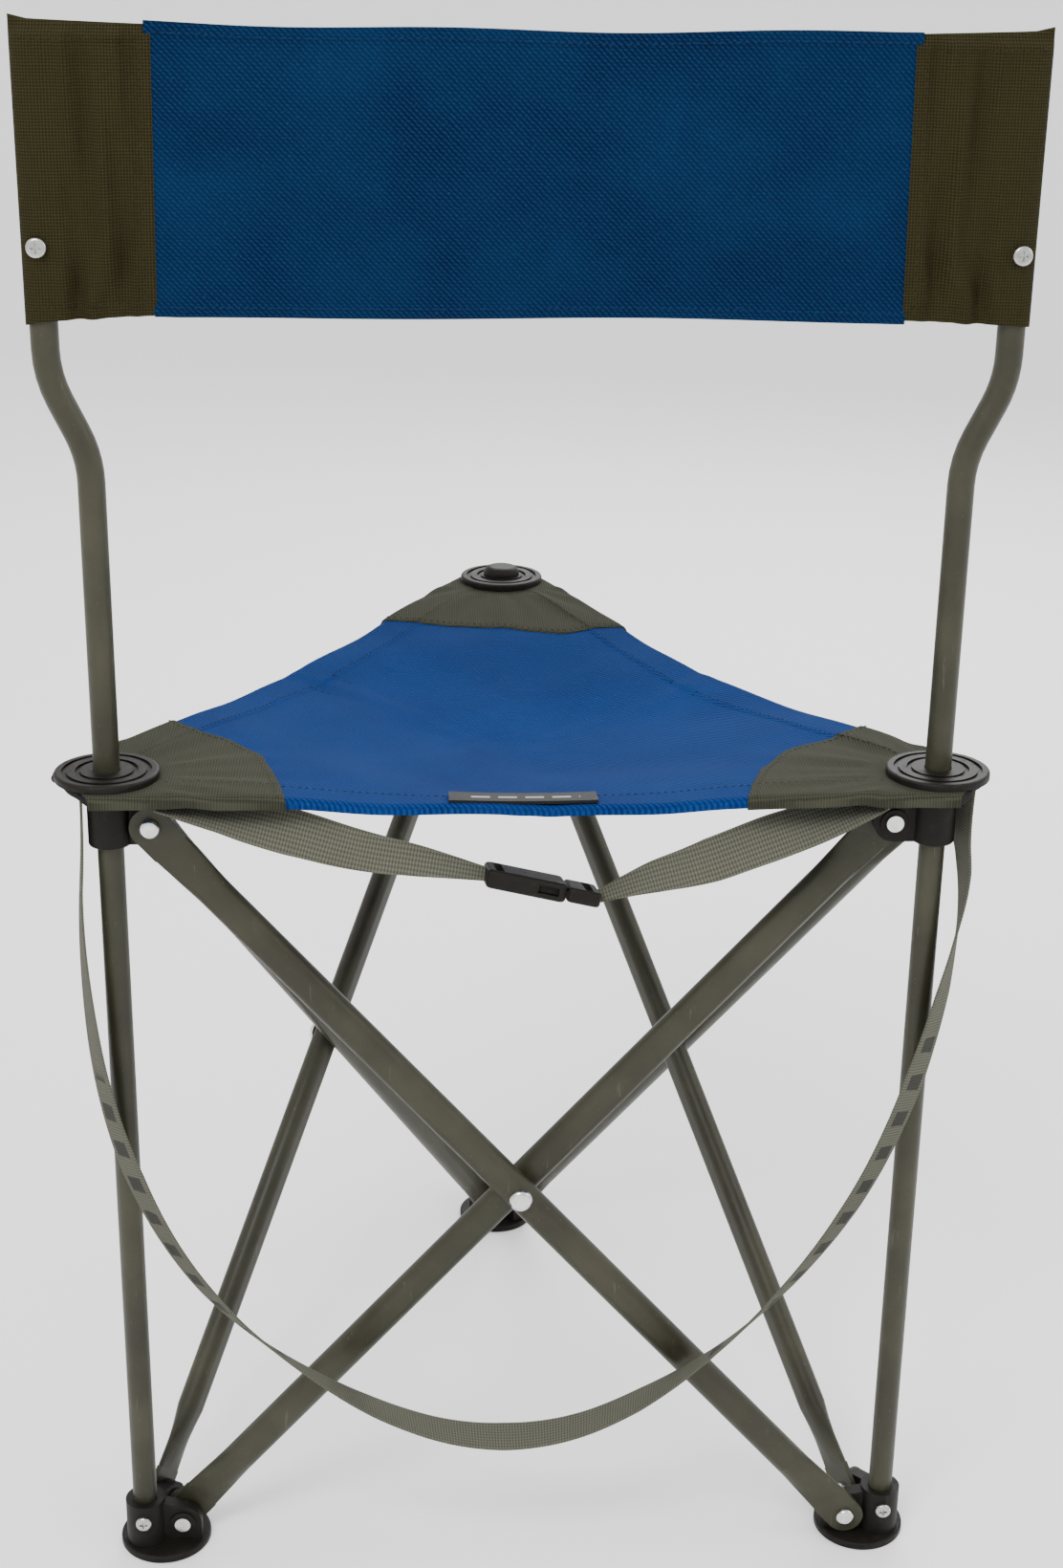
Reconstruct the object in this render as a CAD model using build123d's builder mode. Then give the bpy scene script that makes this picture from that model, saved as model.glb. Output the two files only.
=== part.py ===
from build123d import *
import os
from math import atan2, cos, degrees, hypot, pi, radians, sin, sqrt, tan

os.makedirs("parts", exist_ok=True)

# Three leg folding stool with a backrest. Its plan is an equilateral triangle whose corners are
# back_left, back_right and front. Each side is a scissor of two flattened tubes.
# +Z is up, the floor is z = 0, the front corner points to +Y, and the origin is on the floor
# below the middle of the triangle's depth.

# ---- overall sizes, mm ----
side = 440.0            # corner axis to corner axis, opened
pin_low = 16.0          # height of the foot pins
pin_high = 462.5        # height of the hub pins
pin_inset = 22.0        # corner axis to pin, along the side
back_top = 866.0        # top edge of the backrest
back_height = 138.0     # backrest cloth, top to bottom

# ---- round tube posts of the backrest ----
post_r = 7.0
post_wall = 1.2
post_bottom = 6.0
post_top = 858.0
bend_low = 659.0        # the two corners of the outward bend
bend_high = 699.0
bend_out = 19.0
bend_radius = 60.0

# ---- scissor struts, a flattened tube with paddle ends ----
strut_width = 18.5
strut_thick = 13.5
strut_wall = 1.1
strut_gap = 1.0         # between the two struts where they cross
paddle_thick = 3.0
paddle_r = 11.0
paddle_reach = 16.0     # flat length beyond the pin
paddle_taper = 38.0
strut_offset = (strut_thick + strut_gap) / 2

# ---- rivets ----
rivet_r = 2.5
pin_clearance = 0.08
rivet_head_r = 5.5
rivet_head = 3.0
tail_head_r = 4.6
tail_head = 1.4
cross_head_r = 6.5
face_clearance = 0.3
washer_r = 7.0
washer_thick = 0.6

# ---- moulded feet ----
disc_r = 26.5
disc_thick = 4.0
disc_inset = 12.5
socket_r = 11.5
socket_top = 32.0
fit_clearance = 0.05
lug_thick = 8.0
lug_r = 11.0
boss_r = 7.5
screw_r = 2.0
screw_head_r = 4.6
screw_head = 2.6

# ---- moulded hubs, free to slide on the posts ----
hub_low = 451.0
hub_high = 484.0
slide_clearance = 0.3

# ---- seat cloth ----
seat_flat = 485.4       # height of the cloth where the caps hold it
seat_edge = 479.5       # at the middle of each edge
seat_middle = 457.0
seat_thick = 1.4
third_gap = 0.2         # between the thirds of the seat cloth
ply_gap = 0.3
patch_thick = 1.2
patch_reach = 100.0
tip_reach = 21.0        # cloth beyond the corner axis, cut straight across
tip_half = 23.0         # half the length of that cut
edge_out = 28.0         # from the line between two corner axes out to the cloth's edge
edge_sag = {"back": 4.0, "right": 14.0, "left": 3.0}    # how far each edge curves in, in plan
hold_reach = 34.0       # radius round a corner axis where the cloth lies flat
cap_r = 27.5
cap_thick = 4.0
cap_hole = 9.0
button_r = 12.0
button_rise = 6.0
label_length = 78.0
label_width = 12.0
label_thick = 0.5
label_inset = -14.0     # label's middle from the line between the back corners, into the seat
label_shift = -2.0

# ---- backrest cloth ----
seam_x = 185.0          # where each sleeve is sewn to the middle panel
sleeve_r = 8.9
sleeve_ply = 1.2
sleeve_flat = 1.7
panel_thick = 2.4
back_screw_r = 2.4
back_screw_head_r = 5.0
back_screw_head = 2.8
back_screw_low = 34.5   # above the cloth's bottom edge

# ---- webbing ----
webbing_width = 25.0
webbing_thick = 1.6
webbing_r = sqrt(webbing_width * webbing_thick / pi)

# ---- side release buckle ----
buckle_width = 31.0
buckle_thick = 10.0
buckle_roll = 14.0      # degrees, its near edge up
bar_room = 11.0         # length of the end that the webbing loops through
bar_slot = 4.5
plug_length = 18.0
prong_length = 20.0
prong_width = 5.0
prong_thick = 3.4
prong_clearance = 0.4
buckle_wall = 2.2

# ---- worked out from the sizes above ----
depth = side * sqrt(3) / 2
post_axis = side / 2
back_y = -depth / 2
back_bottom = back_top - back_height
corner = {
    "back_left": Vector(-post_axis, back_y, 0),
    "back_right": Vector(post_axis, back_y, 0),
    "front": Vector(0, depth / 2, 0),
}
middle = (corner["back_left"] + corner["back_right"] + corner["front"]) / 3
pin_span = side - 2 * pin_inset
pin_rise = pin_high - pin_low
pin_length = hypot(pin_span, pin_rise)
boss_reach = strut_offset - paddle_thick / 2 - 0.5
outer_face = strut_offset + paddle_thick / 2 + face_clearance
# each side runs from its first corner to its second, counterclockwise seen from above
sides = {
    "back": ("back_left", "back_right"),
    "right": ("back_right", "front"),
    "left": ("front", "back_left"),
}


def save(piece, name):
    """Label a finished piece and write it as its own file."""
    piece.part.label = name
    export_step(piece.part, f"parts/{name}.step")
    print(f"{name:28s} {piece.part.volume:10.0f} mm3")


def side_plane(start, end, offset=0.0):
    """Vertical plane of a side: x along the side, y up, its normal pointing out of the triangle."""
    along = (end - start).normalized()
    outward = along.cross(Vector(0, 0, 1))
    return Plane(origin=start + outward * offset, x_dir=along, z_dir=outward)


def inward(name):
    """Horizontal direction from a corner to the middle of the triangle."""
    return (middle - corner[name]).normalized()


def lug_planes(name):
    """The planes of the two sides that meet at a corner, both with x pointing away from it."""
    planes = []
    for first, second in sides.values():
        if name == first:
            planes.append(side_plane(corner[first], corner[second]))
        if name == second:
            planes.append(side_plane(corner[second], corner[first]))
    return planes


# ---- feet: a disc, a socket for the post and two lugs with bosses for the struts ----
def build_foot(name):
    axis = corner[name]
    disc_centre = axis + inward(name) * disc_inset
    planes = lug_planes(name)
    with BuildPart() as foot:
        with BuildSketch(Plane(origin=disc_centre)):
            Circle(disc_r)
        extrude(amount=disc_thick)
        fillet(foot.edges().filter_by(GeomType.CIRCLE).sort_by(Axis.Z)[-1], 1.2)
        with BuildSketch(Plane(origin=axis)):
            Circle(socket_r)
        extrude(amount=socket_top)
        for plane in planes:
            with BuildSketch(plane):
                with BuildLine():
                    Polyline((0, disc_thick / 2), (pin_inset + lug_r, disc_thick / 2),
                             (pin_inset + lug_r, pin_low))
                    RadiusArc((pin_inset + lug_r, pin_low), (pin_inset, pin_low + lug_r), -lug_r)
                    Polyline((pin_inset, pin_low + lug_r), (0, socket_top), (0, disc_thick / 2))
                make_face()
            extrude(amount=lug_thick / 2, both=True)
            with BuildSketch(plane):
                with Locations((pin_inset, pin_low)):
                    Circle(boss_r)
            extrude(amount=boss_reach, both=True)
        with BuildSketch(Plane(origin=axis + Vector(0, 0, post_bottom))):
            Circle(post_r + fit_clearance)
        extrude(amount=socket_top, mode=Mode.SUBTRACT)
        for plane in planes:
            with BuildSketch(plane):
                with Locations((pin_inset, pin_low)):
                    Circle(rivet_r + pin_clearance)
            extrude(amount=2 * boss_reach, both=True, mode=Mode.SUBTRACT)
        with BuildSketch(foot_screw_plane(name)):
            Circle(screw_r)
        extrude(amount=-(socket_r + 1), mode=Mode.SUBTRACT)
    return foot


def foot_screw_plane(name):
    """Plane on the outward face of a foot's socket, its normal pointing away from the middle."""
    out = Vector(0, -1, 0) if name != "front" else Vector(0, 1, 0)
    seat = corner[name] + out * socket_r + Vector(0, 0, pin_low + 6)
    return Plane(origin=seat, x_dir=out.cross(Vector(0, 0, 1)), z_dir=out)


def build_cross_screw(plane, shank_r, head_r, head, shank):
    """Pan head screw with a cross recess, its head standing on the plane."""
    with BuildPart() as screw:
        with BuildSketch(plane):
            Circle(head_r)
        extrude(amount=head)
        fillet(screw.edges().filter_by(GeomType.CIRCLE).sort_by(Axis(plane.origin, plane.z_dir))[-1],
               head * 0.55)
        with BuildSketch(plane.offset(head)):
            Rectangle(head_r * 1.0, head_r * 0.26)
            Rectangle(head_r * 0.26, head_r * 1.0)
        extrude(amount=-head * 0.6, mode=Mode.SUBTRACT)
        with BuildSketch(plane):
            Circle(shank_r)
        extrude(amount=-shank)
    return screw


for name in corner:
    foot = build_foot(name)
    save(foot, f"{name}_foot")
    screw = build_cross_screw(foot_screw_plane(name), screw_r - fit_clearance, screw_head_r, screw_head,
                              socket_r - post_r - 0.3)
    save(screw, f"{name}_foot_screw")

# the front foot carries no post, so a plug closes its socket
with BuildPart() as front_plug:
    with BuildSketch(Plane(origin=corner["front"] + Vector(0, 0, post_bottom))):
        Circle(post_r)
    extrude(amount=socket_top - post_bottom)
    with BuildSketch(Plane(origin=corner["front"] + Vector(0, 0, socket_top))):
        Circle(socket_r - 1)
    extrude(amount=1.6)
    fillet(front_plug.edges().filter_by(GeomType.CIRCLE).sort_by(Axis.Z)[-1], 1.0)
save(front_plug, "front_foot_plug")


# ---- posts: bent tubes from the back feet up into the backrest's sleeves ----
def post_path(way):
    x = way * post_axis
    out = way * (post_axis + bend_out)
    return [
        (x, back_y, post_bottom), (x, back_y, bend_low),
        (out, back_y, bend_high), (out, back_y, post_top),
    ]


sleeve_screw_z = back_bottom + back_screw_low
for name, way in (("back_left", -1), ("back_right", 1)):
    screw_plane = Plane(
        origin=(way * (post_axis + bend_out), back_y - sleeve_r, sleeve_screw_z),
        x_dir=(-1, 0, 0), z_dir=(0, -1, 0),
    )
    with BuildPart() as post:
        with BuildLine() as path:
            FilletPolyline(*post_path(way), radius=bend_radius)
        with BuildSketch(Plane(origin=post_path(way)[0])):
            Circle(post_r)
            Circle(post_r - post_wall, mode=Mode.SUBTRACT)
        sweep(path=path.line)
        with BuildSketch(screw_plane):
            Circle(back_screw_r + fit_clearance)
        extrude(amount=-(sleeve_r + 1), mode=Mode.SUBTRACT)
    save(post, f"{name}_post")

    with BuildPart() as plug:
        with BuildSketch(Plane(origin=(way * (post_axis + bend_out), back_y, post_top - 8))):
            Circle(post_r - post_wall - fit_clearance)
        extrude(amount=8)
        with BuildSketch(Plane(origin=(way * (post_axis + bend_out), back_y, post_top))):
            Circle(post_r)
        extrude(amount=2.4)
        fillet(plug.edges().filter_by(GeomType.CIRCLE).sort_by(Axis.Z)[-1], 1.8)
    save(plug, f"{name}_post_plug")

    screw = build_cross_screw(screw_plane, back_screw_r, back_screw_head_r, back_screw_head,
                              sleeve_r - post_r + post_wall + 3)
    save(screw, f"{name}_backrest_screw")


# ---- hubs: sleeves with two lugs, under the seat's corners ----
def build_hub(name):
    axis = corner[name]
    planes = lug_planes(name)
    with BuildPart() as hub:
        with BuildSketch(Plane(origin=axis + Vector(0, 0, hub_low))):
            Circle(socket_r)
        extrude(amount=hub_high - hub_low)
        fillet(hub.edges().filter_by(GeomType.CIRCLE).sort_by(Axis.Z)[0], 1.2)
        for plane in planes:
            with BuildSketch(plane):
                with BuildLine():
                    Polyline((0, pin_high - lug_r), (pin_inset, pin_high - lug_r))
                    RadiusArc((pin_inset, pin_high - lug_r), (pin_inset + lug_r, pin_high), -lug_r)
                    Polyline((pin_inset + lug_r, pin_high), (pin_inset + lug_r, hub_high - 4),
                             (pin_inset + lug_r - 4, hub_high), (0, hub_high), (0, pin_high - lug_r))
                make_face()
            extrude(amount=lug_thick / 2, both=True)
            with BuildSketch(plane):
                with Locations((pin_inset, pin_high)):
                    Circle(boss_r)
            extrude(amount=boss_reach, both=True)
        with BuildSketch(Plane(origin=axis + Vector(0, 0, hub_low - 1))):
            Circle(post_r + slide_clearance)
        extrude(amount=hub_high - hub_low + 2, mode=Mode.SUBTRACT)
        for plane in planes:
            with BuildSketch(plane):
                with Locations((pin_inset, pin_high)):
                    Circle(rivet_r + pin_clearance)
            extrude(amount=2 * boss_reach, both=True, mode=Mode.SUBTRACT)
    return hub


seat_top = seat_flat + seat_thick
patch_low = seat_top + ply_gap
cap_low = patch_low + patch_thick + ply_gap

for name in corner:
    save(build_hub(name), f"{name}_hub")
    with BuildPart() as cap:
        with BuildSketch(Plane(origin=corner[name] + Vector(0, 0, cap_low))):
            Circle(cap_r)
            Circle(post_r + slide_clearance, mode=Mode.SUBTRACT)
        extrude(amount=cap_thick)
        with BuildSketch(Plane(origin=corner[name] + Vector(0, 0, cap_low + cap_thick))):
            Circle(cap_r - 4)
            Circle(cap_r - 6.5, mode=Mode.SUBTRACT)
            Circle(cap_r - 11)
            Circle(cap_r - 13.5, mode=Mode.SUBTRACT)
        extrude(amount=-1.2, mode=Mode.SUBTRACT)
        fillet(cap.edges().filter_by(GeomType.CIRCLE).group_by(Axis.Z)[-1].sort_by(SortBy.LENGTH)[-1], 1.5)
    save(cap, f"{name}_cap")

# the front cap's middle is closed by a domed button whose stem fills the hub
button_low = cap_low + cap_thick
with BuildPart() as button:
    with BuildSketch(Plane(origin=corner["front"] + Vector(0, 0, button_low))):
        Circle(button_r)
    extrude(amount=button_rise)
    fillet(button.edges().filter_by(GeomType.CIRCLE).sort_by(Axis.Z)[-1], button_rise * 0.8)
    with BuildSketch(Plane(origin=corner["front"] + Vector(0, 0, hub_low + 2))):
        Circle(post_r)
    extrude(amount=button_low - hub_low - 2)
save(button, "front_cap_button")


# ---- struts: flattened tubes, outer ones rise to a side's first corner, inner ones to its second ----
def strut_frame(name, layer):
    """Plane across a strut at its lower pin: z along the strut, y out of the triangle."""
    first, second = (corner[c] for c in sides[name])
    sign = 1 if layer == "outer" else -1
    along = (second - first).normalized()
    outward = along.cross(Vector(0, 0, 1))
    foot_end, top_end = (second, first) if layer == "outer" else (first, second)
    run = (top_end - foot_end).normalized()
    low = foot_end + run * pin_inset + outward * (sign * strut_offset) + Vector(0, 0, pin_low)
    rise = (run * pin_span + Vector(0, 0, pin_rise)).normalized()
    return Plane(origin=low, x_dir=outward.cross(rise), z_dir=rise)


def build_strut(name, layer):
    across = strut_frame(name, layer)
    flat = Plane(origin=across.origin, x_dir=across.z_dir, z_dir=across.y_dir)
    tube_start = paddle_reach + paddle_taper
    with BuildPart() as strut:
        with BuildSketch(across.offset(tube_start)):
            SlotOverall(strut_width, strut_thick)
        extrude(amount=pin_length - 2 * tube_start)
        for start, way in ((paddle_reach, 1), (pin_length - paddle_reach, -1)):
            with BuildSketch(across.offset(start)):
                RectangleRounded(2 * paddle_r, paddle_thick, paddle_thick / 2 - 0.1)
            with BuildSketch(across.offset(start + way * paddle_taper)):
                SlotOverall(strut_width, strut_thick)
            loft()
        with BuildSketch(flat):
            with Locations((paddle_reach / 2, 0), (pin_length - paddle_reach / 2, 0)):
                Rectangle(paddle_reach, 2 * paddle_r)
            with Locations((0, 0), (pin_length, 0)):
                Circle(paddle_r)
        extrude(amount=paddle_thick / 2, both=True)
        # the hollow, pressed shut towards the paddles
        with BuildSketch(across.offset(tube_start)):
            SlotOverall(strut_width - 2 * strut_wall, strut_thick - 2 * strut_wall)
        extrude(amount=pin_length - 2 * tube_start, mode=Mode.SUBTRACT)
        for start, way in ((paddle_reach + 6, 1), (pin_length - paddle_reach - 6, -1)):
            with BuildSketch(across.offset(start)):
                SlotOverall(2 * paddle_r - 5, 0.6)
            with BuildSketch(across.offset(start + way * (paddle_taper - 6))):
                SlotOverall(strut_width - 2 * strut_wall, strut_thick - 2 * strut_wall)
            loft(mode=Mode.SUBTRACT)
        with BuildSketch(flat):
            with Locations((0, 0), (pin_length / 2, 0), (pin_length, 0)):
                Circle(rivet_r + pin_clearance)
        extrude(amount=strut_thick, both=True, mode=Mode.SUBTRACT)
    return strut


def build_pin_rivet(name, layer, at_top):
    """Rivet through a paddle and its lug: a domed head outside, a flat tail on the lug."""
    across = strut_frame(name, layer)
    sign = 1 if layer == "outer" else -1
    first, second = (corner[c] for c in sides[name])
    out = (second - first).normalized().cross(Vector(0, 0, 1)) * sign
    pin = across.origin + (across.z_dir * pin_length if at_top else Vector(0, 0, 0))
    on_side = pin - out * strut_offset
    head_plane = Plane(origin=on_side + out * outer_face, x_dir=(0, 0, 1), z_dir=out)
    tail_plane = Plane(origin=on_side - out * (boss_reach + 0.05), x_dir=(0, 0, 1), z_dir=out * -1)
    with BuildPart() as rivet:
        with BuildSketch(head_plane):
            Circle(rivet_head_r)
        extrude(amount=rivet_head)
        fillet(rivet.edges().filter_by(GeomType.CIRCLE).sort_by(Axis(on_side, out))[-1], rivet_head * 0.8)
        with BuildSketch(head_plane):
            Circle(rivet_r)
        extrude(amount=-(outer_face + boss_reach + 0.05))
        with BuildSketch(tail_plane):
            Circle(tail_head_r)
        extrude(amount=tail_head)
    return rivet


for name in sides:
    for layer in ("outer", "inner"):
        save(build_strut(name, layer), f"{name}_{layer}_strut")
        save(build_pin_rivet(name, layer, False), f"{name}_{layer}_foot_rivet")
        save(build_pin_rivet(name, layer, True), f"{name}_{layer}_hub_rivet")

    # the rivet where a side's two struts cross, and the washer between them
    first, second = (corner[c] for c in sides[name])
    middle_of_side = (first + second) / 2 + Vector(0, 0, (pin_low + pin_high) / 2)
    out = (second - first).normalized().cross(Vector(0, 0, 1))
    cross_face = strut_gap / 2 + strut_thick + 0.05
    with BuildPart() as cross_rivet:
        for way in (1, -1):
            face = Plane(origin=middle_of_side + out * (way * cross_face), x_dir=(0, 0, 1), z_dir=out * way)
            with BuildSketch(face):
                Circle(cross_head_r)
            extrude(amount=rivet_head)
            fillet(cross_rivet.edges().filter_by(GeomType.CIRCLE)
                   .sort_by(Axis(middle_of_side, out * way))[-1], rivet_head * 0.8)
        with BuildSketch(Plane(origin=middle_of_side, x_dir=(0, 0, 1), z_dir=out)):
            Circle(rivet_r)
        extrude(amount=cross_face, both=True)
    save(cross_rivet, f"{name}_cross_rivet")

    with BuildPart() as washer:
        with BuildSketch(Plane(origin=middle_of_side, x_dir=(0, 0, 1), z_dir=out)):
            Circle(washer_r)
            Circle(rivet_r + pin_clearance, mode=Mode.SUBTRACT)
        extrude(amount=washer_thick / 2, both=True)
    save(washer, f"{name}_cross_washer")


# ---- seat cloth: a sagging sheet of revolution, cut to its plan outline ----
def tips(name):
    """The two ends of a corner's cut tip, where the edges of its two sides start."""
    out = inward(name) * -1
    across = Vector(0, 0, 1).cross(out)
    return [corner[name] + out * tip_reach + across * (way * tip_half) for way in (-1, 1)]


def build_cloth(low, thick, plan, cap_holes):
    """A sheet of this thickness that follows the seat's sag, inside a plan outline."""
    lift = low - seat_flat
    corner_radius = (corner["front"] - middle).length
    hold = corner_radius - hold_reach
    rim = corner_radius + 2 * (tip_reach + tip_half)
    edge_radius = side / (2 * sqrt(3)) + edge_out
    tangents = ((1, 0), (hold - edge_radius, seat_flat - seat_edge))
    low_points = [(0, seat_middle + lift), (edge_radius, seat_edge + lift), (hold, seat_flat + lift)]
    high_points = [(x, z + thick) for x, z in low_points]
    with BuildPart() as cloth:
        with BuildSketch(Plane.XZ.offset(-middle.Y)):
            with BuildLine():
                Spline(*low_points, tangents=tangents)
                Polyline(low_points[-1], (rim, low_points[-1][1]), (rim, high_points[-1][1]),
                         high_points[-1])
                Spline(*high_points, tangents=tangents)
                Line(high_points[0], low_points[0])
            make_face()
        revolve(axis=Axis((0, middle.Y, 0), (0, 0, 1)))
        with BuildSketch(Plane.XY.offset(seat_middle - 20)):
            add(plan)
        extrude(amount=seat_flat - seat_middle + 40, mode=Mode.INTERSECT)
        for axis in cap_holes:
            with BuildSketch(Plane(origin=axis + Vector(0, 0, seat_flat - 5))):
                Circle(cap_hole)
            extrude(amount=20, mode=Mode.SUBTRACT)
    return cloth


with BuildSketch() as seat_plan:
    with BuildLine():
        for side_name, (first, second) in sides.items():
            start, end = tips(first)[1], tips(second)[0]
            half_way = (start + end) / 2
            ThreePointArc(start, half_way + (middle - half_way).normalized() * edge_sag[side_name], end)
            Line(tips(first)[0], start)
    make_face()

# the seat is one sheet; each corner's third of it is a piece of its own, because each third lifts
# by itself when the stool folds
for name in corner:
    turn = degrees(atan2(inward(name).Y, inward(name).X))
    with BuildSketch() as third_plan:
        add(seat_plan.sketch)
        with Locations(Location(middle - inward(name) * third_gap, (0, 0, turn))):
            Polygon((0, 0), (-side, side * sqrt(3)), (-2 * side, 0), (-side, -side * sqrt(3)),
                    align=None, mode=Mode.INTERSECT)
    save(build_cloth(seat_flat, seat_thick, third_plan.sketch, [corner[name]]), f"{name}_seat_cloth")
    with BuildSketch() as patch_plan:
        add(seat_plan.sketch)
        with Locations(Location(corner[name], (0, 0, turn))):
            RegularPolygon(patch_reach, 8, rotation=22.5, mode=Mode.INTERSECT)
    save(build_cloth(patch_low, patch_thick, patch_plan.sketch, [corner[name]]), f"{name}_seat_patch")

with BuildSketch() as label_plan:
    with Locations((label_shift, back_y + label_inset)):
        RectangleRounded(label_length, label_width, 1)
save(build_cloth(patch_low, label_thick, label_plan.sketch, []), "seat_label")

# ---- backrest: a middle panel between two sleeves that slip over the posts ----
# the panel is one cloth; its two halves are pieces of their own, because it doubles back between
# the posts when the stool folds
for name, way in (("back_left", -1), ("back_right", 1)):
    with BuildPart() as panel:
        with BuildSketch(Plane.XY.offset(back_bottom)):
            with Locations((way * seam_x / 2, back_y)):
                Rectangle(seam_x - 2 * ply_gap, panel_thick)
        extrude(amount=back_height)
    save(panel, f"{name}_backrest_panel")

for name, way in (("back_left", -1), ("back_right", 1)):
    with BuildPart() as sleeve:
        with BuildSketch(Plane.XY.offset(back_bottom)):
            with Locations((way * (post_axis + bend_out), back_y)):
                Circle(sleeve_r)
            with Locations((way * (seam_x + sleeve_flat), back_y)):
                Circle(sleeve_flat)
            make_hull()
        extrude(amount=back_height)
        with BuildSketch(Plane.XY.offset(back_bottom)):
            with Locations((way * (post_axis + bend_out), back_y)):
                Circle(sleeve_r - sleeve_ply)
            with Locations((way * (seam_x + 5 * sleeve_flat), back_y)):
                Circle(sleeve_flat - sleeve_ply)
            make_hull()
        extrude(amount=back_height - 4, mode=Mode.SUBTRACT)
        with BuildSketch(Plane(origin=(way * (post_axis + bend_out), back_y - sleeve_r - 1, sleeve_screw_z),
                               x_dir=(1, 0, 0), z_dir=(0, -1, 0))):
            Circle(back_screw_r + 0.2)
        extrude(amount=-(sleeve_ply + 4), mode=Mode.SUBTRACT)
    save(sleeve, f"{name}_backrest_sleeve")


# ---- webbing: plain round runs with the webbing's length and section area ----
def cord_points(points, fall=0.45):
    """Bend radius at each inner point of a route, a share of the shorter run beside it."""
    radii = []
    for before, here, after in zip(points, points[1:], points[2:]):
        a = Vector(here) - Vector(before)
        b = Vector(after) - Vector(here)
        turn = radians(a.get_angle(b))
        radii.append(round(fall * min(a.length, b.length) / tan(turn / 2), 3))
    return radii


def build_webbing(points):
    radii = cord_points(points)
    print("  bend radii", radii)
    with BuildPart() as webbing:
        with BuildLine() as route:
            FilletPolyline(*points, radius=radii)
        start = Vector(points[0])
        with BuildSketch(Plane(origin=start, z_dir=Vector(points[1]) - start)):
            Circle(webbing_r)
        sweep(path=route.line)
    length = sum(edge.length for edge in route.line.edges())
    print(f"  length {length:.0f} mm, section times length {length * webbing_width * webbing_thick:.0f} mm3")
    return webbing


def place(points):
    """Points given from the line between the two back corner axes, as points of the frame."""
    return [(x, y + back_y, z) for x, y, z in points]


# the carrying loop hangs from the undersides of both back corners and passes outside the posts
shoulder_route = place([
    (-235, 4, seat_flat), (-235, 4, 453), (-238, -1, 412), (-236, -8, 366), (-230, -17, 320),
    (-218, -26, 276), (-197, -31, 226), (-168, -32, 182), (-130, -31, 145), (-82, -28, 110),
    (-30, -25, 88), (26, -25, 90), (76, -29, 118), (120, -31, 155), (159, -32, 202),
    (188, -31, 249), (209, -26, 297), (225, -17, 346), (236, -7, 394), (240, 0, 430),
    (235, 4, 459), (235, 4, seat_flat),
])
save(build_webbing(shoulder_route), "shoulder_strap")

# the closing strap: two lengths of webbing under the near hem, joined by a buckle
left_route = place([
    (-192, -15, 481), (-162, -18, 474), (-125, -21, 466), (-88, -22, 454.5), (-52, -22, 448.25),
    (-22, -22, 441.5),
])
right_route = place([
    (38, -22, 428), (62, -22, 438), (92, -22, 446), (128, -20, 460), (160, -17, 470), (188, -14, 481),
])
save(build_webbing(left_route), "left_strap")
save(build_webbing(right_route), "right_strap")

# ---- buckle: a socket on the left strap and a plug with two prongs on the right strap ----
buckle_start = Vector(left_route[-1])
buckle_end = Vector(right_route[0])
buckle_along = (buckle_end - buckle_start).normalized()
buckle_length = (buckle_end - buckle_start).length
buckle_across = Vector(0, cos(radians(buckle_roll)), -sin(radians(buckle_roll)))
buckle_flat = Plane(origin=buckle_start, x_dir=buckle_along, z_dir=buckle_along.cross(buckle_across))
socket_length = buckle_length - plug_length - 0.4
cavity_width = buckle_width - 2 * buckle_wall
cavity_thick = prong_thick + 2 * prong_clearance

with BuildPart() as socket:
    with BuildSketch(buckle_flat):
        with Locations((socket_length / 2, 0)):
            RectangleRounded(socket_length, buckle_width, 4)
    extrude(amount=buckle_thick / 2, both=True)
    fillet(socket.edges().filter_by(Axis(buckle_start, buckle_along)), 2.2)
    with BuildSketch(buckle_flat):
        with Locations(((socket_length + bar_room) / 2 + 0.5, 0)):
            Rectangle(socket_length - bar_room + 1, cavity_width)
    extrude(amount=cavity_thick / 2, both=True, mode=Mode.SUBTRACT)
    # the windows at both sides, where the prongs are squeezed
    with BuildSketch(buckle_flat):
        with Locations((socket_length - prong_length / 2, buckle_width / 2),
                       (socket_length - prong_length / 2, -buckle_width / 2)):
            Rectangle(prong_length * 0.55, 2 * buckle_wall + 3)
    extrude(amount=cavity_thick / 2, both=True, mode=Mode.SUBTRACT)
    # the slot that the webbing loops through
    with BuildSketch(buckle_flat):
        with Locations((bar_room / 2 + 1, 0)):
            Rectangle(bar_slot, webbing_width + 1)
    extrude(amount=buckle_thick, both=True, mode=Mode.SUBTRACT)
save(socket, "buckle_socket")

plug_start = socket_length + 0.4
with BuildPart() as plug:
    with BuildSketch(buckle_flat):
        with Locations((plug_start + plug_length / 2, 0)):
            RectangleRounded(plug_length, buckle_width - 1, 3)
    extrude(amount=buckle_thick / 2 - 1, both=True)
    fillet(plug.edges().filter_by(Axis(buckle_start, buckle_along)), 1.8)
    with BuildSketch(buckle_flat):
        for way in (1, -1):
            with Locations((plug_start - prong_length / 2 + 1,
                            way * (cavity_width / 2 - prong_clearance - prong_width / 2))):
                RectangleRounded(prong_length + 2, prong_width, 1.6)
        with Locations((plug_start - prong_length * 0.35 + 1, 0)):
            RectangleRounded(prong_length * 0.7 + 2, prong_width * 0.8, 1.4)
    extrude(amount=prong_thick / 2, both=True)
    with BuildSketch(buckle_flat):
        with Locations((plug_start + plug_length - bar_room / 2 - 1, 0)):
            Rectangle(bar_slot, webbing_width + 1)
    extrude(amount=buckle_thick, both=True, mode=Mode.SUBTRACT)
save(plug, "buckle_plug")
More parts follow.
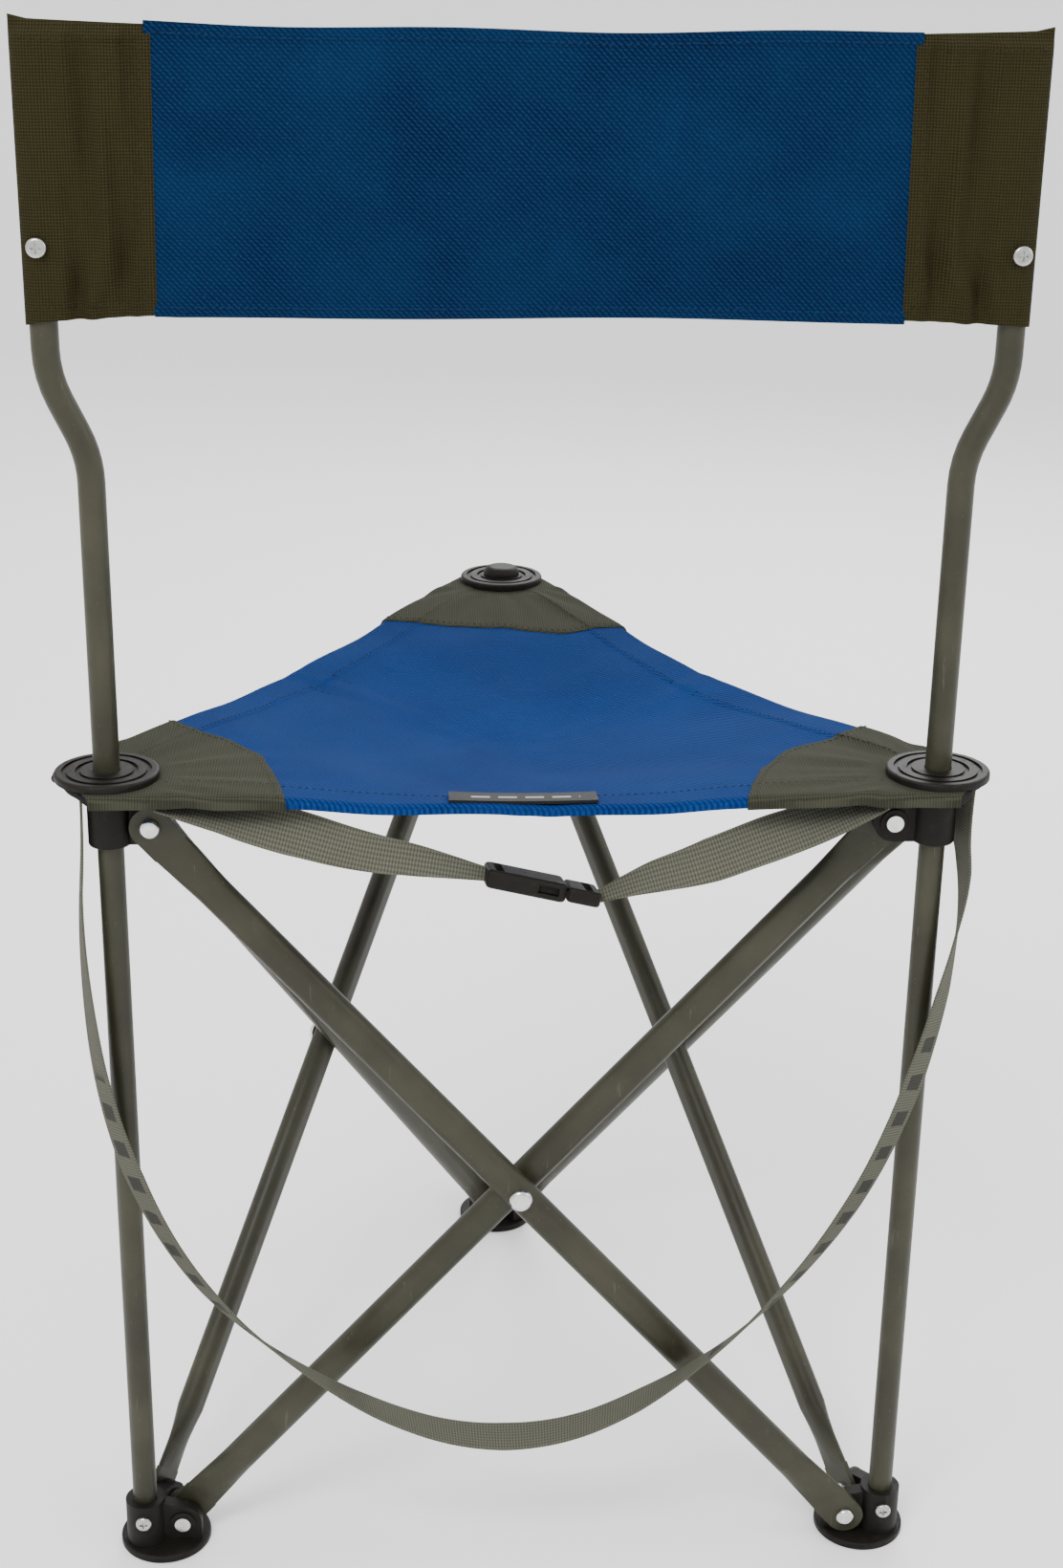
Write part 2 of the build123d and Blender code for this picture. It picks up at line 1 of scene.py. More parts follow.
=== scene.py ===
# %% [markdown]
# # A three leg stool with a cloth backrest
# The frame is fixed: feet, posts, struts, hubs, caps and rivets come ready made, at their real size.
# This file dresses it. It gives the metal and the plastic their finishes, and it makes everything
# that is cloth or webbing: the seat, its corner patches, the backrest and the straps.

# %% Load the frame
import bpy
import bmesh
import numpy as np
from math import radians
from mathutils import Matrix, Vector


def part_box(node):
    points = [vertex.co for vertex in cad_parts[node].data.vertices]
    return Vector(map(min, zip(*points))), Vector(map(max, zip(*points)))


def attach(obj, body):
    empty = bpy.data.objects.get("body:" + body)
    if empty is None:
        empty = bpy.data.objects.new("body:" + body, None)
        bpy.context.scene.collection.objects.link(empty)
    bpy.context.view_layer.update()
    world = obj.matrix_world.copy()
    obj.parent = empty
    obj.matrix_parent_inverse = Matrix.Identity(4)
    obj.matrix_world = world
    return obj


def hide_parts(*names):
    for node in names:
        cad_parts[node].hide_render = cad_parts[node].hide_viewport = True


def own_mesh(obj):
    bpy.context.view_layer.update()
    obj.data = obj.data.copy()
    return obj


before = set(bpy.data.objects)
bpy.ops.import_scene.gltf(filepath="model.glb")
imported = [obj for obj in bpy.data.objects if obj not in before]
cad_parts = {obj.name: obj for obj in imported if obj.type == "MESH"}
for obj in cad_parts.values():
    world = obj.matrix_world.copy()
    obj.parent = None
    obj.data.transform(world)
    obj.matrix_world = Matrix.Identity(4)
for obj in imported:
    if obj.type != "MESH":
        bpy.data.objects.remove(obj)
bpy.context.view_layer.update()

# %% [markdown]
# ## Places to measure from
# Every piece takes its place from the frame. The three corner axes are the middles of the caps, and
# the seat's cloth lies just under the caps. Around each corner we use our own two directions:
# s runs inward along the line that halves the corner, and t runs across it.

# %% Corner axes and their directions
CORNERS = ("back_left", "back_right", "front")
cap_low, cap_high = zip(*(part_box(f"{name}_cap") for name in CORNERS))
axis_xy = {name: (np.array(lo) + np.array(hi))[:2] / 2 for name, lo, hi in zip(CORNERS, cap_low, cap_high)}
centre_xy = sum(axis_xy.values()) / 3
side = float(np.linalg.norm(axis_xy["back_left"] - axis_xy["back_right"]))
back_y = float(axis_xy["back_left"][1])
cloth_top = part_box("front_seat_cloth")[1][2]
inward = {name: (centre_xy - p) / np.linalg.norm(centre_xy - p) for name, p in axis_xy.items()}
across = {name: np.array([-d[1], d[0]]) for name, d in inward.items()}
reach = side / np.sqrt(3)
print("side", round(side, 4), "cloth at", round(cloth_top, 4))

# %% [markdown]
# ## The camera
# It looks down a little on the back of the stool, slightly from the left, with a long lens. The
# rotation is built from three directions: to the right, up, and away from what it looks at.

# %% Camera
CAMERA_PLACE = (-0.05675, -1.34465, 0.9196)
CAMERA_YAW, CAMERA_PITCH, CAMERA_ROLL = radians(2.967), radians(20.668), radians(-0.886)


def aim(yaw, pitch, roll):
    """Rotation of a camera that looks along +Y, turned to +X by yaw, down by pitch, then rolled."""
    forward = np.array([np.sin(yaw), np.cos(yaw), 0.0])
    right = np.array([np.cos(yaw), -np.sin(yaw), 0.0])
    look = np.cos(pitch) * forward + np.sin(pitch) * np.array([0, 0, -1.0])
    down = -np.sin(pitch) * forward + np.cos(pitch) * np.array([0, 0, -1.0])
    turned_right = np.cos(roll) * right + np.sin(roll) * down
    turned_down = -np.sin(roll) * right + np.cos(roll) * down
    return Matrix(np.array([turned_right, -turned_down, -look]).T.tolist())


camera = bpy.data.objects.new("camera", bpy.data.cameras.new("camera"))
camera.data.sensor_fit = "VERTICAL"
camera.data.sensor_height = 36.0
camera.data.lens = 53.5
camera.matrix_world = Matrix.Translation(CAMERA_PLACE) @ aim(CAMERA_YAW, CAMERA_PITCH, CAMERA_ROLL).to_4x4()
bpy.context.collection.objects.link(camera)
bpy.context.scene.camera = camera

# %% [markdown]
# ## Floor and light
# A plain white floor that curves up into a wall on every side, so no horizon shows, and three large
# soft lamps, as in a small studio. One lamp is above and behind the camera, one fills from the
# right, and one from behind draws a thin edge on the tubes.

# %% Floor, world and lamps
FLOOR_RADIUS, WALL_RADIUS, WALL_TOP = 4.0, 1.5, 4.0


def bowl():
    """Profile of radius and height turned once round: flat floor, quarter circle, upright wall."""
    bend = np.linspace(0, np.pi / 2, 24)
    radius = np.concatenate([[0.02], np.linspace(0.5, FLOOR_RADIUS, 8),
                             FLOOR_RADIUS + WALL_RADIUS * np.sin(bend[1:]), [FLOOR_RADIUS + WALL_RADIUS]])
    height = np.concatenate([np.zeros(9), WALL_RADIUS * (1 - np.cos(bend[1:])), [WALL_TOP]]) - 0.0005
    turn = np.linspace(0, 2 * np.pi, 96, endpoint=False)
    points = np.stack([radius[:, None] * np.cos(turn), radius[:, None] * np.sin(turn),
                       height[:, None] * np.ones_like(turn)], axis=-1)
    rows, columns = points.shape[:2]
    r, c = np.arange(rows - 1)[:, None], np.arange(columns)[None, :]
    n = (c + 1) % columns
    quads = np.stack([r * columns + c, (r + 1) * columns + c,
                      (r + 1) * columns + n, r * columns + n], axis=-1)
    return points.reshape(-1, 3).tolist(), [list(range(columns))] + quads.reshape(-1, 4).tolist()


backdrop_mesh = bpy.data.meshes.new("backdrop")
backdrop_points, backdrop_faces = bowl()
backdrop_mesh.from_pydata(backdrop_points, [], backdrop_faces)
backdrop_mesh.shade_smooth()
backdrop = bpy.data.objects.new("backdrop", backdrop_mesh)
backdrop_paint = bpy.data.materials.new("white paper")
backdrop_paint.use_nodes = True
paper = backdrop_paint.node_tree.nodes["Principled BSDF"]
paper.inputs["Base Color"].default_value = (0.92, 0.92, 0.92, 1.0)
paper.inputs["Roughness"].default_value = 0.95
backdrop_mesh.materials.append(backdrop_paint)
bpy.context.collection.objects.link(backdrop)

world = bpy.data.worlds.new("studio")
world.use_nodes = True
world.node_tree.nodes["Background"].inputs["Color"].default_value = (1.0, 1.0, 1.0, 1.0)
world.node_tree.nodes["Background"].inputs["Strength"].default_value = 1.5
bpy.context.scene.world = world


def lamp(name, place, target, size, watts):
    """A square area lamp at place that shines at target."""
    data = bpy.data.lights.new(name, "AREA")
    data.energy = watts
    data.size = size
    item = bpy.data.objects.new(name, data)
    item.matrix_world = (Matrix.Translation(place)
                         @ (Vector(target) - Vector(place)).to_track_quat("-Z", "Y").to_matrix().to_4x4())
    bpy.context.collection.objects.link(item)


lamp("key", (-0.8, -1.7, 2.3), (0, 0, 0.5), 0.9, 50)
lamp("fill", (2.2, -0.6, 1.6), (0, 0, 0.5), 1.5, 20)
lamp("rim", (0.6, 2.2, 2.0), (0, 0, 0.6), 1.5, 50)

# %% [markdown]
# ## A small kit for materials
# Each finish below is a node tree on Blender's main surface shader. A few helpers keep the recipes
# short: make a node, link it, mix two colours by a pattern, and turn a height into bumps.


# %% Material helpers
class Finish:
    """A material under construction, with its surface shader at hand."""

    def __init__(self, name, roughness, metallic=0.0, gloss=0.5):
        self.material = bpy.data.materials.new(name)
        self.material.use_nodes = True
        self.tree = self.material.node_tree
        self.shader = self.tree.nodes["Principled BSDF"]
        self.shader.inputs["Roughness"].default_value = roughness
        self.shader.inputs["Metallic"].default_value = metallic
        self.shader.inputs["Specular IOR Level"].default_value = gloss

    def node(self, kind, **settings):
        """Add a node. Settings named after its properties are set on it, the others on its inputs."""
        made = self.tree.nodes.new(kind)
        for key, value in settings.items():
            if hasattr(made, key):
                setattr(made, key, value)
            else:
                made.inputs[key.replace("_", " ")].default_value = value
        return made

    def link(self, source, target):
        self.tree.links.new(source, target)

    def place(self, source="Object", turn=0.0, scale=(1, 1, 1)):
        """Coordinates on the piece: its own, or the flat ones of its cloth."""
        kind = self.node("ShaderNodeTexCoord")
        mapping = self.node("ShaderNodeMapping")
        mapping.inputs["Rotation"].default_value = (0, 0, turn)
        mapping.inputs["Scale"].default_value = scale
        self.link(kind.outputs[source], mapping.inputs["Vector"])
        return mapping.outputs["Vector"]

    def noise(self, where, size, detail=3.0, rough=0.55):
        """Cloudy noise whose blobs are about size metres across."""
        made = self.node("ShaderNodeTexNoise", Scale=1.0 / size, Detail=detail, Roughness=rough)
        self.link(where, made.inputs["Vector"])
        return made.outputs["Fac"]

    def ribs(self, where, pitch, direction="X", wobble=0.6):
        """Rows of threads, pitch metres apart."""
        spread = np.sqrt(2) if direction == "DIAGONAL" else 1.0
        made = self.node("ShaderNodeTexWave", wave_type="BANDS", bands_direction=direction,
                         Scale=spread * 0.31416 / pitch, Distortion=wobble, Detail=1.0)
        made.inputs["Detail Scale"].default_value = 1.5
        self.link(where, made.inputs["Vector"])
        return made.outputs["Fac"]

    def ramp(self, value, stops):
        """Colours or greys along a pattern: stops are (position, colour)."""
        made = self.node("ShaderNodeValToRGB")
        while len(made.color_ramp.elements) < len(stops):
            made.color_ramp.elements.new(0.5)
        for element, (position, colour) in zip(made.color_ramp.elements, stops):
            element.position = position
            element.color = (*colour, 1.0)
        self.link(value, made.inputs["Fac"])
        return made.outputs["Color"]

    def mix(self, share, a, b, how="MIX"):
        """Mix colour a with b by share; each may be a pattern or a plain value."""
        made = self.node("ShaderNodeMix", data_type="RGBA", blend_type=how)
        colours = [socket for socket in made.inputs if socket.type == "RGBA"]
        for target, value in zip([made.inputs["Factor"], *colours], (share, a, b)):
            if isinstance(value, bpy.types.NodeSocket):
                self.link(value, target)
            elif isinstance(value, tuple):
                target.default_value = (*value, 1.0)
            else:
                target.default_value = value
        return [o for o in made.outputs if o.type == "RGBA"][0]

    def maths(self, how, a, b):
        """One sum on two patterns or numbers."""
        made = self.node("ShaderNodeMath", operation=how)
        for socket, value in zip(made.inputs, (a, b)):
            if isinstance(value, bpy.types.NodeSocket):
                self.link(value, socket)
            else:
                socket.default_value = value
        return made.outputs[0]

    def colour(self, value):
        self.link(value, self.shader.inputs["Base Color"])

    def rough(self, value, low, high):
        """Roughness that runs from low to high along a pattern."""
        made = self.node("ShaderNodeMapRange")
        made.inputs["To Min"].default_value = low
        made.inputs["To Max"].default_value = high
        self.link(value, made.inputs["Value"])
        self.link(made.outputs["Result"], self.shader.inputs["Roughness"])

    def bump(self, height, depth, strength=1.0):
        """Relief of about depth metres; calling it again adds finer relief on top."""
        made = self.node("ShaderNodeBump", Strength=strength, Distance=depth)
        before = self.shader.inputs["Normal"]
        if before.is_linked:
            self.link(before.links[0].from_socket, made.inputs["Normal"])
        self.link(height, made.inputs["Height"])
        self.link(made.outputs["Normal"], before)


print("material kit ready")

# %% [markdown]
# ## Painted tube
# The posts and struts are steel tube with a dark olive brown powder coat. Powder coat has a fine
# orange peel, dusty lighter patches where hands and ground have rubbed, and a satin shine. Here and
# there a chip or a scratch shows as a brighter speck.


# %% Tube finish
def tube_finish():
    """Two browns clouded together, thin scratches, orange peel bumps."""
    f = Finish("tube coat", 0.45, gloss=0.25)
    where = f.place()
    clouds = f.noise(where, 0.06, 5.0)
    base = f.ramp(clouds, [(0.3, (0.017, 0.016, 0.009)), (0.55, (0.029, 0.028, 0.016)),
                           (0.8, (0.046, 0.044, 0.027))])
    scratch_where = f.place(scale=(90, 90, 7))
    scratches = f.node("ShaderNodeTexNoise", Scale=6.0, Detail=4.0)
    f.link(scratch_where, scratches.inputs["Vector"])
    marks = f.ramp(scratches.outputs["Fac"], [(0.68, (0, 0, 0)), (0.73, (1, 1, 1))])
    worn = f.mix(f.maths("MULTIPLY", marks, 0.3), base, (0.13, 0.12, 0.095))
    specks = f.ramp(f.noise(where, 0.0016, 2.0), [(0.7, (0, 0, 0)), (0.76, (1, 1, 1))])
    f.colour(f.mix(f.maths("MULTIPLY", specks, 0.3), worn, (0.15, 0.14, 0.11)))
    f.rough(clouds, 0.3, 0.55)
    f.bump(f.noise(where, 0.0012, 2.0), 0.00012, 0.5)
    f.bump(marks, 0.00005, 0.3)
    return f.material


tube_coat = tube_finish()

# %% [markdown]
# ## Bright steel, moulded plastic
# Rivets and screws are zinc bright with a faint turned grain. The feet, hubs, caps and buckle are
# one brown black nylon, moulded with a fine texture, and paler where it is scuffed.


# %% Steel finish
def steel_finish(name, tone, low, high):
    """Bright metal, clouded a little, with fine dents."""
    f = Finish(name, low, metallic=1.0)
    where = f.place()
    clouds = f.noise(where, 0.004, 4.0)
    f.colour(f.ramp(clouds, [(0.3, tuple(0.72 * c for c in tone)), (0.7, tone)]))
    f.rough(f.noise(where, 0.0011, 3.0), low, high)
    f.bump(f.noise(where, 0.0014, 3.0), 0.00008, 0.5)
    return f.material


# %% Plastic finish
def plastic_finish(name, dark, pale):
    """Near black nylon: cloudy colour, scuffs, and a fine moulded grain."""
    f = Finish(name, 0.6, gloss=0.12)
    where = f.place()
    clouds = f.noise(where, 0.02, 5.0)
    scuffs = f.ramp(f.noise(where, 0.005, 8.0, 0.7), [(0.56, (0, 0, 0)), (0.72, (1, 1, 1))])
    base = f.mix(clouds, dark, tuple(1.7 * c for c in dark))
    f.colour(f.mix(f.maths("MULTIPLY", scuffs, 0.45), base, pale))
    f.rough(scuffs, 0.5, 0.8)
    f.bump(f.noise(where, 0.0009, 2.0), 0.00012, 0.5)
    f.bump(f.noise(where, 0.004, 4.0), 0.0002, 0.3)
    return f.material


rivet_steel = steel_finish("rivet steel", (0.74, 0.74, 0.72), 0.12, 0.3)
screw_steel = steel_finish("screw steel", (0.5, 0.5, 0.48), 0.16, 0.36)
nylon = plastic_finish("moulded nylon", (0.006, 0.0052, 0.0042), (0.034, 0.029, 0.024))
washer_nylon = plastic_finish("washer nylon", (0.02, 0.02, 0.02), (0.09, 0.09, 0.085))

# %% Give every frame part its finish
finish_of = {"strut": tube_coat, "post": tube_coat, "rivet": rivet_steel, "screw": screw_steel,
             "washer": washer_nylon}
for name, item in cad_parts.items():
    chosen = next((m for end, m in finish_of.items() if name.endswith(end)), nylon)
    item.data.materials.clear()
    item.data.materials.append(chosen)
print("finished", len(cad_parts), "frame parts")

# %% [markdown]
# ## Cloth finishes
# The seat and the backrest are blue polyester in a diagonal twill. At this scale each thread is
# about a millimetre, so the pattern is a row of diagonal ribs crossed by finer threads, with the
# colour of each thread a little different. The patches are a tighter plain weave in grey, and the
# sleeves the same in olive. All of them read the flat coordinates of the cloth as it was cut, so
# the threads follow every fold.


# %% Twill and plain weave
def twill_finish(name, deep, mid, light, pitch):
    """Diagonal ribs by crossing threads. The ribs set colour and relief."""
    f = Finish(name, 0.9, gloss=0.08)
    flat = f.place("UV")
    ribs = f.ribs(flat, pitch, "DIAGONAL", 1.2)
    cross = f.ribs(f.place("UV", turn=radians(90)), pitch * 0.8, "X", 1.0)
    weave = f.maths("MULTIPLY", ribs, f.maths("ADD", f.maths("MULTIPLY", cross, 0.5), 0.5))
    faded = f.noise(flat, 0.07, 4.0)
    fibre = f.noise(flat, 0.0012, 2.0)
    tone = f.ramp(weave, [(0.0, deep), (0.5, mid), (1.0, light)])
    tone = f.mix(f.maths("MULTIPLY", f.maths("SUBTRACT", faded, 0.3), 0.9), tone, light)
    tone = f.mix(f.maths("MULTIPLY", f.maths("GREATER_THAN", fibre, 0.66), 0.22), tone,
                 tuple(min(1.0, 1.9 * c + 0.02) for c in light))
    f.colour(tone)
    f.bump(weave, 0.00035, 0.8)
    f.bump(f.noise(flat, 0.012, 3.0), 0.0006, 0.25)
    return f.material


def plain_finish(name, deep, light, pitch, dirt):
    """Plain weave: two rows of threads at right angles, dirt in soft clouds."""
    f = Finish(name, 0.88, gloss=0.08)
    flat = f.place("UV")
    warp = f.ribs(flat, pitch, "X", 0.8)
    weft = f.ribs(flat, pitch, "Y", 0.8)
    weave = f.maths("MULTIPLY", f.maths("ADD", warp, weft), 0.5)
    clouds = f.noise(flat, 0.035, 6.0)
    tone = f.ramp(weave, [(0.15, deep), (0.85, light)])
    tone = f.mix(f.maths("MULTIPLY", clouds, 0.45), tone, dirt)
    specks = f.maths("GREATER_THAN", f.noise(flat, 0.0024, 2.0), 0.7)
    tone = f.mix(f.maths("MULTIPLY", specks, 0.3), tone, tuple(0.35 * c for c in deep))
    f.colour(tone)
    f.bump(weave, 0.00026, 0.75)
    f.bump(f.noise(flat, 0.009, 3.0), 0.0006, 0.25)
    return f.material


seat_twill = twill_finish("seat twill", (0.0006, 0.009, 0.054), (0.0012, 0.021, 0.108), (0.003, 0.036, 0.15),
                          0.0022)
# The backrest's twill is the seat's blue cloth in colours about half as bright: painted shade on the upright
# panel.
back_twill_painted_shade = twill_finish("backrest twill painted shade", (0.0002, 0.003, 0.017), (0.0005, 0.010, 0.038),
                          (0.002, 0.026, 0.078), 0.0021)
patch_weave = plain_finish("patch weave", (0.016, 0.017, 0.012), (0.048, 0.05, 0.034), 0.0015,
                           (0.022, 0.022, 0.015))
sleeve_weave = plain_finish("sleeve weave", (0.007, 0.006, 0.002), (0.032, 0.028, 0.010), 0.0015,
                            (0.014, 0.012, 0.004))
binding_black = plain_finish("binding", (0.006, 0.006, 0.006), (0.02, 0.02, 0.019), 0.0008,
                             (0.02, 0.018, 0.016))

# %% [markdown]
# ## Webbing, label and thread
# Webbing is ribbed along its length, with herringbone threads between its edges. The stretches that
# hang at the sides carry rows of plain dark blocks. The label is black with plain
# pale bars. Sewing thread is a twisted yarn, just a shade lighter than the cloth it holds.


# %% Webbing, label and thread finishes
def webbing_finish(name, bars):
    """Ribs across the strap (u is along it, v across it, both in metres) and dark blocks on some."""
    f = Finish(name, 0.8, gloss=0.08)
    flat = f.place("UV")
    ribs = f.ribs(flat, 0.0017, "X", 0.9)
    lines = f.ribs(flat, 0.0026, "Y", 0.4)
    weave = f.maths("MULTIPLY", f.maths("ADD", ribs, f.maths("MULTIPLY", lines, 0.7)), 0.6)
    clouds = f.noise(flat, 0.03, 4.0)
    tone = f.ramp(weave, [(0.1, (0.038, 0.038, 0.028)), (0.9, (0.112, 0.112, 0.086))])
    tone = f.mix(f.maths("MULTIPLY", clouds, 0.35), tone, (0.08, 0.078, 0.06))
    if bars:
        parts = f.node("ShaderNodeSeparateXYZ")
        f.link(flat, parts.inputs["Vector"])
        along, over = parts.outputs["X"], parts.outputs["Y"]
        step = f.maths("PINGPONG", along, 0.011)
        wide = f.maths("GREATER_THAN", step, f.maths("ADD", 0.0045, f.maths("MULTIPLY", clouds, 0.004)))
        inside = f.maths("LESS_THAN", f.maths("ABSOLUTE", over, 0.0), 0.0078)
        shown = f.node("ShaderNodeAttribute", attribute_name="printed")
        ink = f.maths("MULTIPLY", f.maths("MULTIPLY", wide, inside), shown.outputs["Fac"])
        tone = f.mix(f.maths("MULTIPLY", ink, 0.85), tone, (0.02, 0.02, 0.018))
    f.colour(tone)
    f.bump(weave, 0.0003, 0.7)
    return f.material


def label_finish():
    """Black woven tape with a few plain pale bars."""
    f = Finish("label tape", 0.6, gloss=0.15)
    flat = f.place("UV")
    parts = f.node("ShaderNodeSeparateXYZ")
    f.link(flat, parts.inputs["Vector"])
    along, over = parts.outputs["X"], parts.outputs["Y"]
    dashes = f.maths("GREATER_THAN", f.maths("PINGPONG", f.maths("ADD", along, 0.001), 0.0071), 0.0022)
    inside = f.maths("MULTIPLY", f.maths("LESS_THAN", f.maths("ABSOLUTE", over, 0.0), 0.0017),
                     f.maths("LESS_THAN", f.maths("ABSOLUTE", along, 0.0), 0.030))
    pale = f.maths("MULTIPLY", dashes, inside)
    weave = f.ribs(flat, 0.0006, "X", 0.4)
    ground = f.ramp(weave, [(0.2, (0.003, 0.003, 0.004)), (0.8, (0.009, 0.009, 0.01))])
    f.colour(f.mix(f.maths("MULTIPLY", pale, 0.8), ground, (0.4, 0.4, 0.38)))
    f.bump(weave, 0.0001, 0.5)
    return f.material


def thread_finish(name, tone):
    """Twisted yarn: a tight diagonal rib."""
    f = Finish(name, 0.7, gloss=0.1)
    where = f.place()
    twist = f.ribs(where, 0.0005, "DIAGONAL", 0.3)
    f.colour(f.ramp(twist, [(0.2, tuple(0.6 * c for c in tone)), (0.8, tone)]))
    f.bump(twist, 0.00006, 0.6)
    return f.material


plain_webbing = webbing_finish("webbing", False)
printed_webbing = webbing_finish("webbing with blocks", True)
label_tape = label_finish()
blue_thread = thread_finish("blue thread", (0.003, 0.02, 0.068))
grey_thread = thread_finish("grey thread", (0.034, 0.035, 0.024))
olive_thread = thread_finish("olive thread", (0.022, 0.019, 0.008))

# %% [markdown]
# ## A small kit for surfaces
# Every cloth piece is a sheet given as a grid of points, one for its upper face and one for its
# lower face. The shell helper joins the two by four narrow rims and welds the doubled points, so the
# piece is closed. It also stores the flat coordinates that the weave follows.


# %% Mesh from grids
def mesh_piece(name, points, faces, flat, material, smooth_angle=50.0, extra=None):
    """Object from arrays: points (n, 3), quads (m, 4) and a flat coordinate (n, 2) for every point."""
    mesh = bpy.data.meshes.new(name)
    mesh.from_pydata(points.tolist(), [], faces.tolist())
    layer = mesh.uv_layers.new(name="flat")
    corner_points = np.empty(len(mesh.loops), dtype=np.int64)
    mesh.loops.foreach_get("vertex_index", corner_points)
    layer.data.foreach_set("uv", flat[corner_points].astype(np.float32).ravel())
    if extra is not None:
        store = mesh.attributes.new(extra[0], "FLOAT", "POINT")
        store.data.foreach_set("value", extra[1].astype(np.float32))
    weld = bmesh.new()
    weld.from_mesh(mesh)
    bmesh.ops.remove_doubles(weld, verts=weld.verts, dist=2e-6)
    bmesh.ops.dissolve_degenerate(weld, edges=weld.edges, dist=1e-7)
    bmesh.ops.recalc_face_normals(weld, faces=weld.faces)
    weld.to_mesh(mesh)
    weld.free()
    mesh.shade_smooth()
    mesh.set_sharp_from_angle(angle=radians(smooth_angle))
    mesh.materials.append(material)
    item = bpy.data.objects.new(name, mesh)
    bpy.context.collection.objects.link(item)
    return item


def grid_faces(rows, columns, first=0, closed=False):
    """Quads between neighbouring points of a grid; closed joins its last column to its first."""
    r = np.arange(rows - 1)[:, None]
    c = np.arange(columns if closed else columns - 1)[None, :]
    n = (c + 1) % columns
    return (first + np.stack([r * columns + c, r * columns + n, (r + 1) * columns + n,
                              (r + 1) * columns + c], axis=-1)).reshape(-1, 4)


def shell(name, upper, lower, flat, material, extra=None, smooth_angle=50.0):
    """Closed sheet between two grids (rows, columns, 3): two faces and the rims between them."""
    rows, columns = upper.shape[:2]
    count = rows * columns
    index = np.arange(count).reshape(rows, columns)
    border = np.concatenate([index[0, :], index[1:, -1], index[-1, -2::-1], index[-2:0:-1, 0]])
    following = np.roll(border, -1)
    rim = np.stack([border, border + count, following + count, following], axis=-1)
    faces = np.concatenate([grid_faces(rows, columns), grid_faces(rows, columns, count)[:, ::-1], rim])
    points = np.concatenate([upper.reshape(-1, 3), lower.reshape(-1, 3)])
    both = np.concatenate([flat.reshape(-1, 2)] * 2)
    value = None if extra is None else (extra[0], np.concatenate([extra[1].ravel()] * 2))
    return mesh_piece(name, points, faces, both, material, smooth_angle, value)


def smooth_step(x, low, high):
    """0 below low, 1 above high, and a soft S between them."""
    u = np.clip((x - low) / (high - low), 0.0, 1.0)
    return u * u * (3 - 2 * u)


# %% [markdown]
# ## Stitches
# A sewn row is hundreds of short rounded bars of thread. One bar is a six sided spindle of thirty
# faces; the helper copies it along a line of places, turned to follow the line and set half into
# the cloth.

# %% Stitch rows
STITCH_LENGTH = 0.0028
STITCH_PITCH = 0.0040
STITCH_RADIUS = 0.00042


def along_line(line, pitch):
    """Places every pitch metres on a line of points, and the direction of the line at each."""
    steps = np.linalg.norm(np.diff(line, axis=0), axis=1)
    walked = np.concatenate([[0.0], np.cumsum(steps)])
    where = np.arange(pitch / 2, walked[-1], pitch)
    places = np.stack([np.interp(where, walked, line[:, k]) for k in range(3)], axis=1)
    ahead = np.stack([np.interp(where + 1e-3, walked, line[:, k]) for k in range(3)], axis=1)
    behind = np.stack([np.interp(where - 1e-3, walked, line[:, k]) for k in range(3)], axis=1)
    way = ahead - behind
    return places, way / np.linalg.norm(way, axis=1, keepdims=True)


def stitches(name, lines, up, material):
    """One mesh of thread bars along several lines. up is the cloth's outward direction at them."""
    found = [along_line(np.asarray(line, float), STITCH_PITCH) for line in lines]
    places = np.concatenate([p for p, w in found])
    way = np.concatenate([w for p, w in found])
    up = np.asarray(up, float)
    wide = np.cross(way, up)
    wide /= np.linalg.norm(wide, axis=1, keepdims=True)
    high = np.cross(wide, way)
    ring = np.arange(6) * np.pi / 3
    stations = np.array([-0.5, -0.32, 0.0, 0.32, 0.5])
    fat = np.array([0.25, 0.85, 1.0, 0.85, 0.25])
    dip = np.array([-0.9, -0.1, 0.2, -0.1, -0.9])
    local = np.stack([
        np.repeat(stations * STITCH_LENGTH, 6),
        (fat[:, None] * np.cos(ring)[None, :] * STITCH_RADIUS).ravel(),
        ((fat[:, None] * np.sin(ring)[None, :] + dip[:, None]) * STITCH_RADIUS).ravel(),
    ], axis=1)
    points = (places[:, None, :] + local[None, :, 0:1] * way[:, None, :]
              + local[None, :, 1:2] * wide[:, None, :] + local[None, :, 2:3] * high[:, None, :])
    one = np.concatenate([grid_faces(5, 6, closed=True),
                          [[0, 1, 2, 3], [0, 3, 4, 5], [24, 27, 26, 25], [24, 29, 28, 27]]])
    faces = (one[None, :, :] + np.arange(len(places))[:, None, None] * 30).reshape(-1, 4)
    points = points.reshape(-1, 3)
    return mesh_piece(name, points, faces, points[:, :2], material)


# %% [markdown]
# ## The seat
# The seat is one triangle of cloth, cut straight across at each corner and hemmed along its edges.
# It sags between the caps: its height depends on the distance from the middle, along three points
# joined by smooth cubic curves. The stool folds by lifting the cloth in the middle, so each corner's
# third is a piece, with a small flat part that stays under the cap and a large part that lifts.

# %% The seat's shape
TIP_REACH = 0.021
TIP_HALF = 0.023
EDGE_OUT = 0.028
EDGE_CURVE = {"back": 0.004, "right": 0.014, "left": 0.003}
SIDE_AFTER = {"back_left": "back", "back_right": "right", "front": "left"}
SIDE_BEFORE = {"back_left": "left", "back_right": "back", "front": "right"}
SHEET_THICK = 0.0014
HEM_WIDTH = 0.024
HEM_RISE = 0.0007
LIFT_LINE = 0.0285
SAG_RADII = np.array([0.0, side / (2 * np.sqrt(3)) + EDGE_OUT, reach - 0.034])
SAG_DROPS = np.array([-0.0284, -0.0059, 0.0])
SAG_SLOPES = np.array([0.0, 0.125, 0.055])


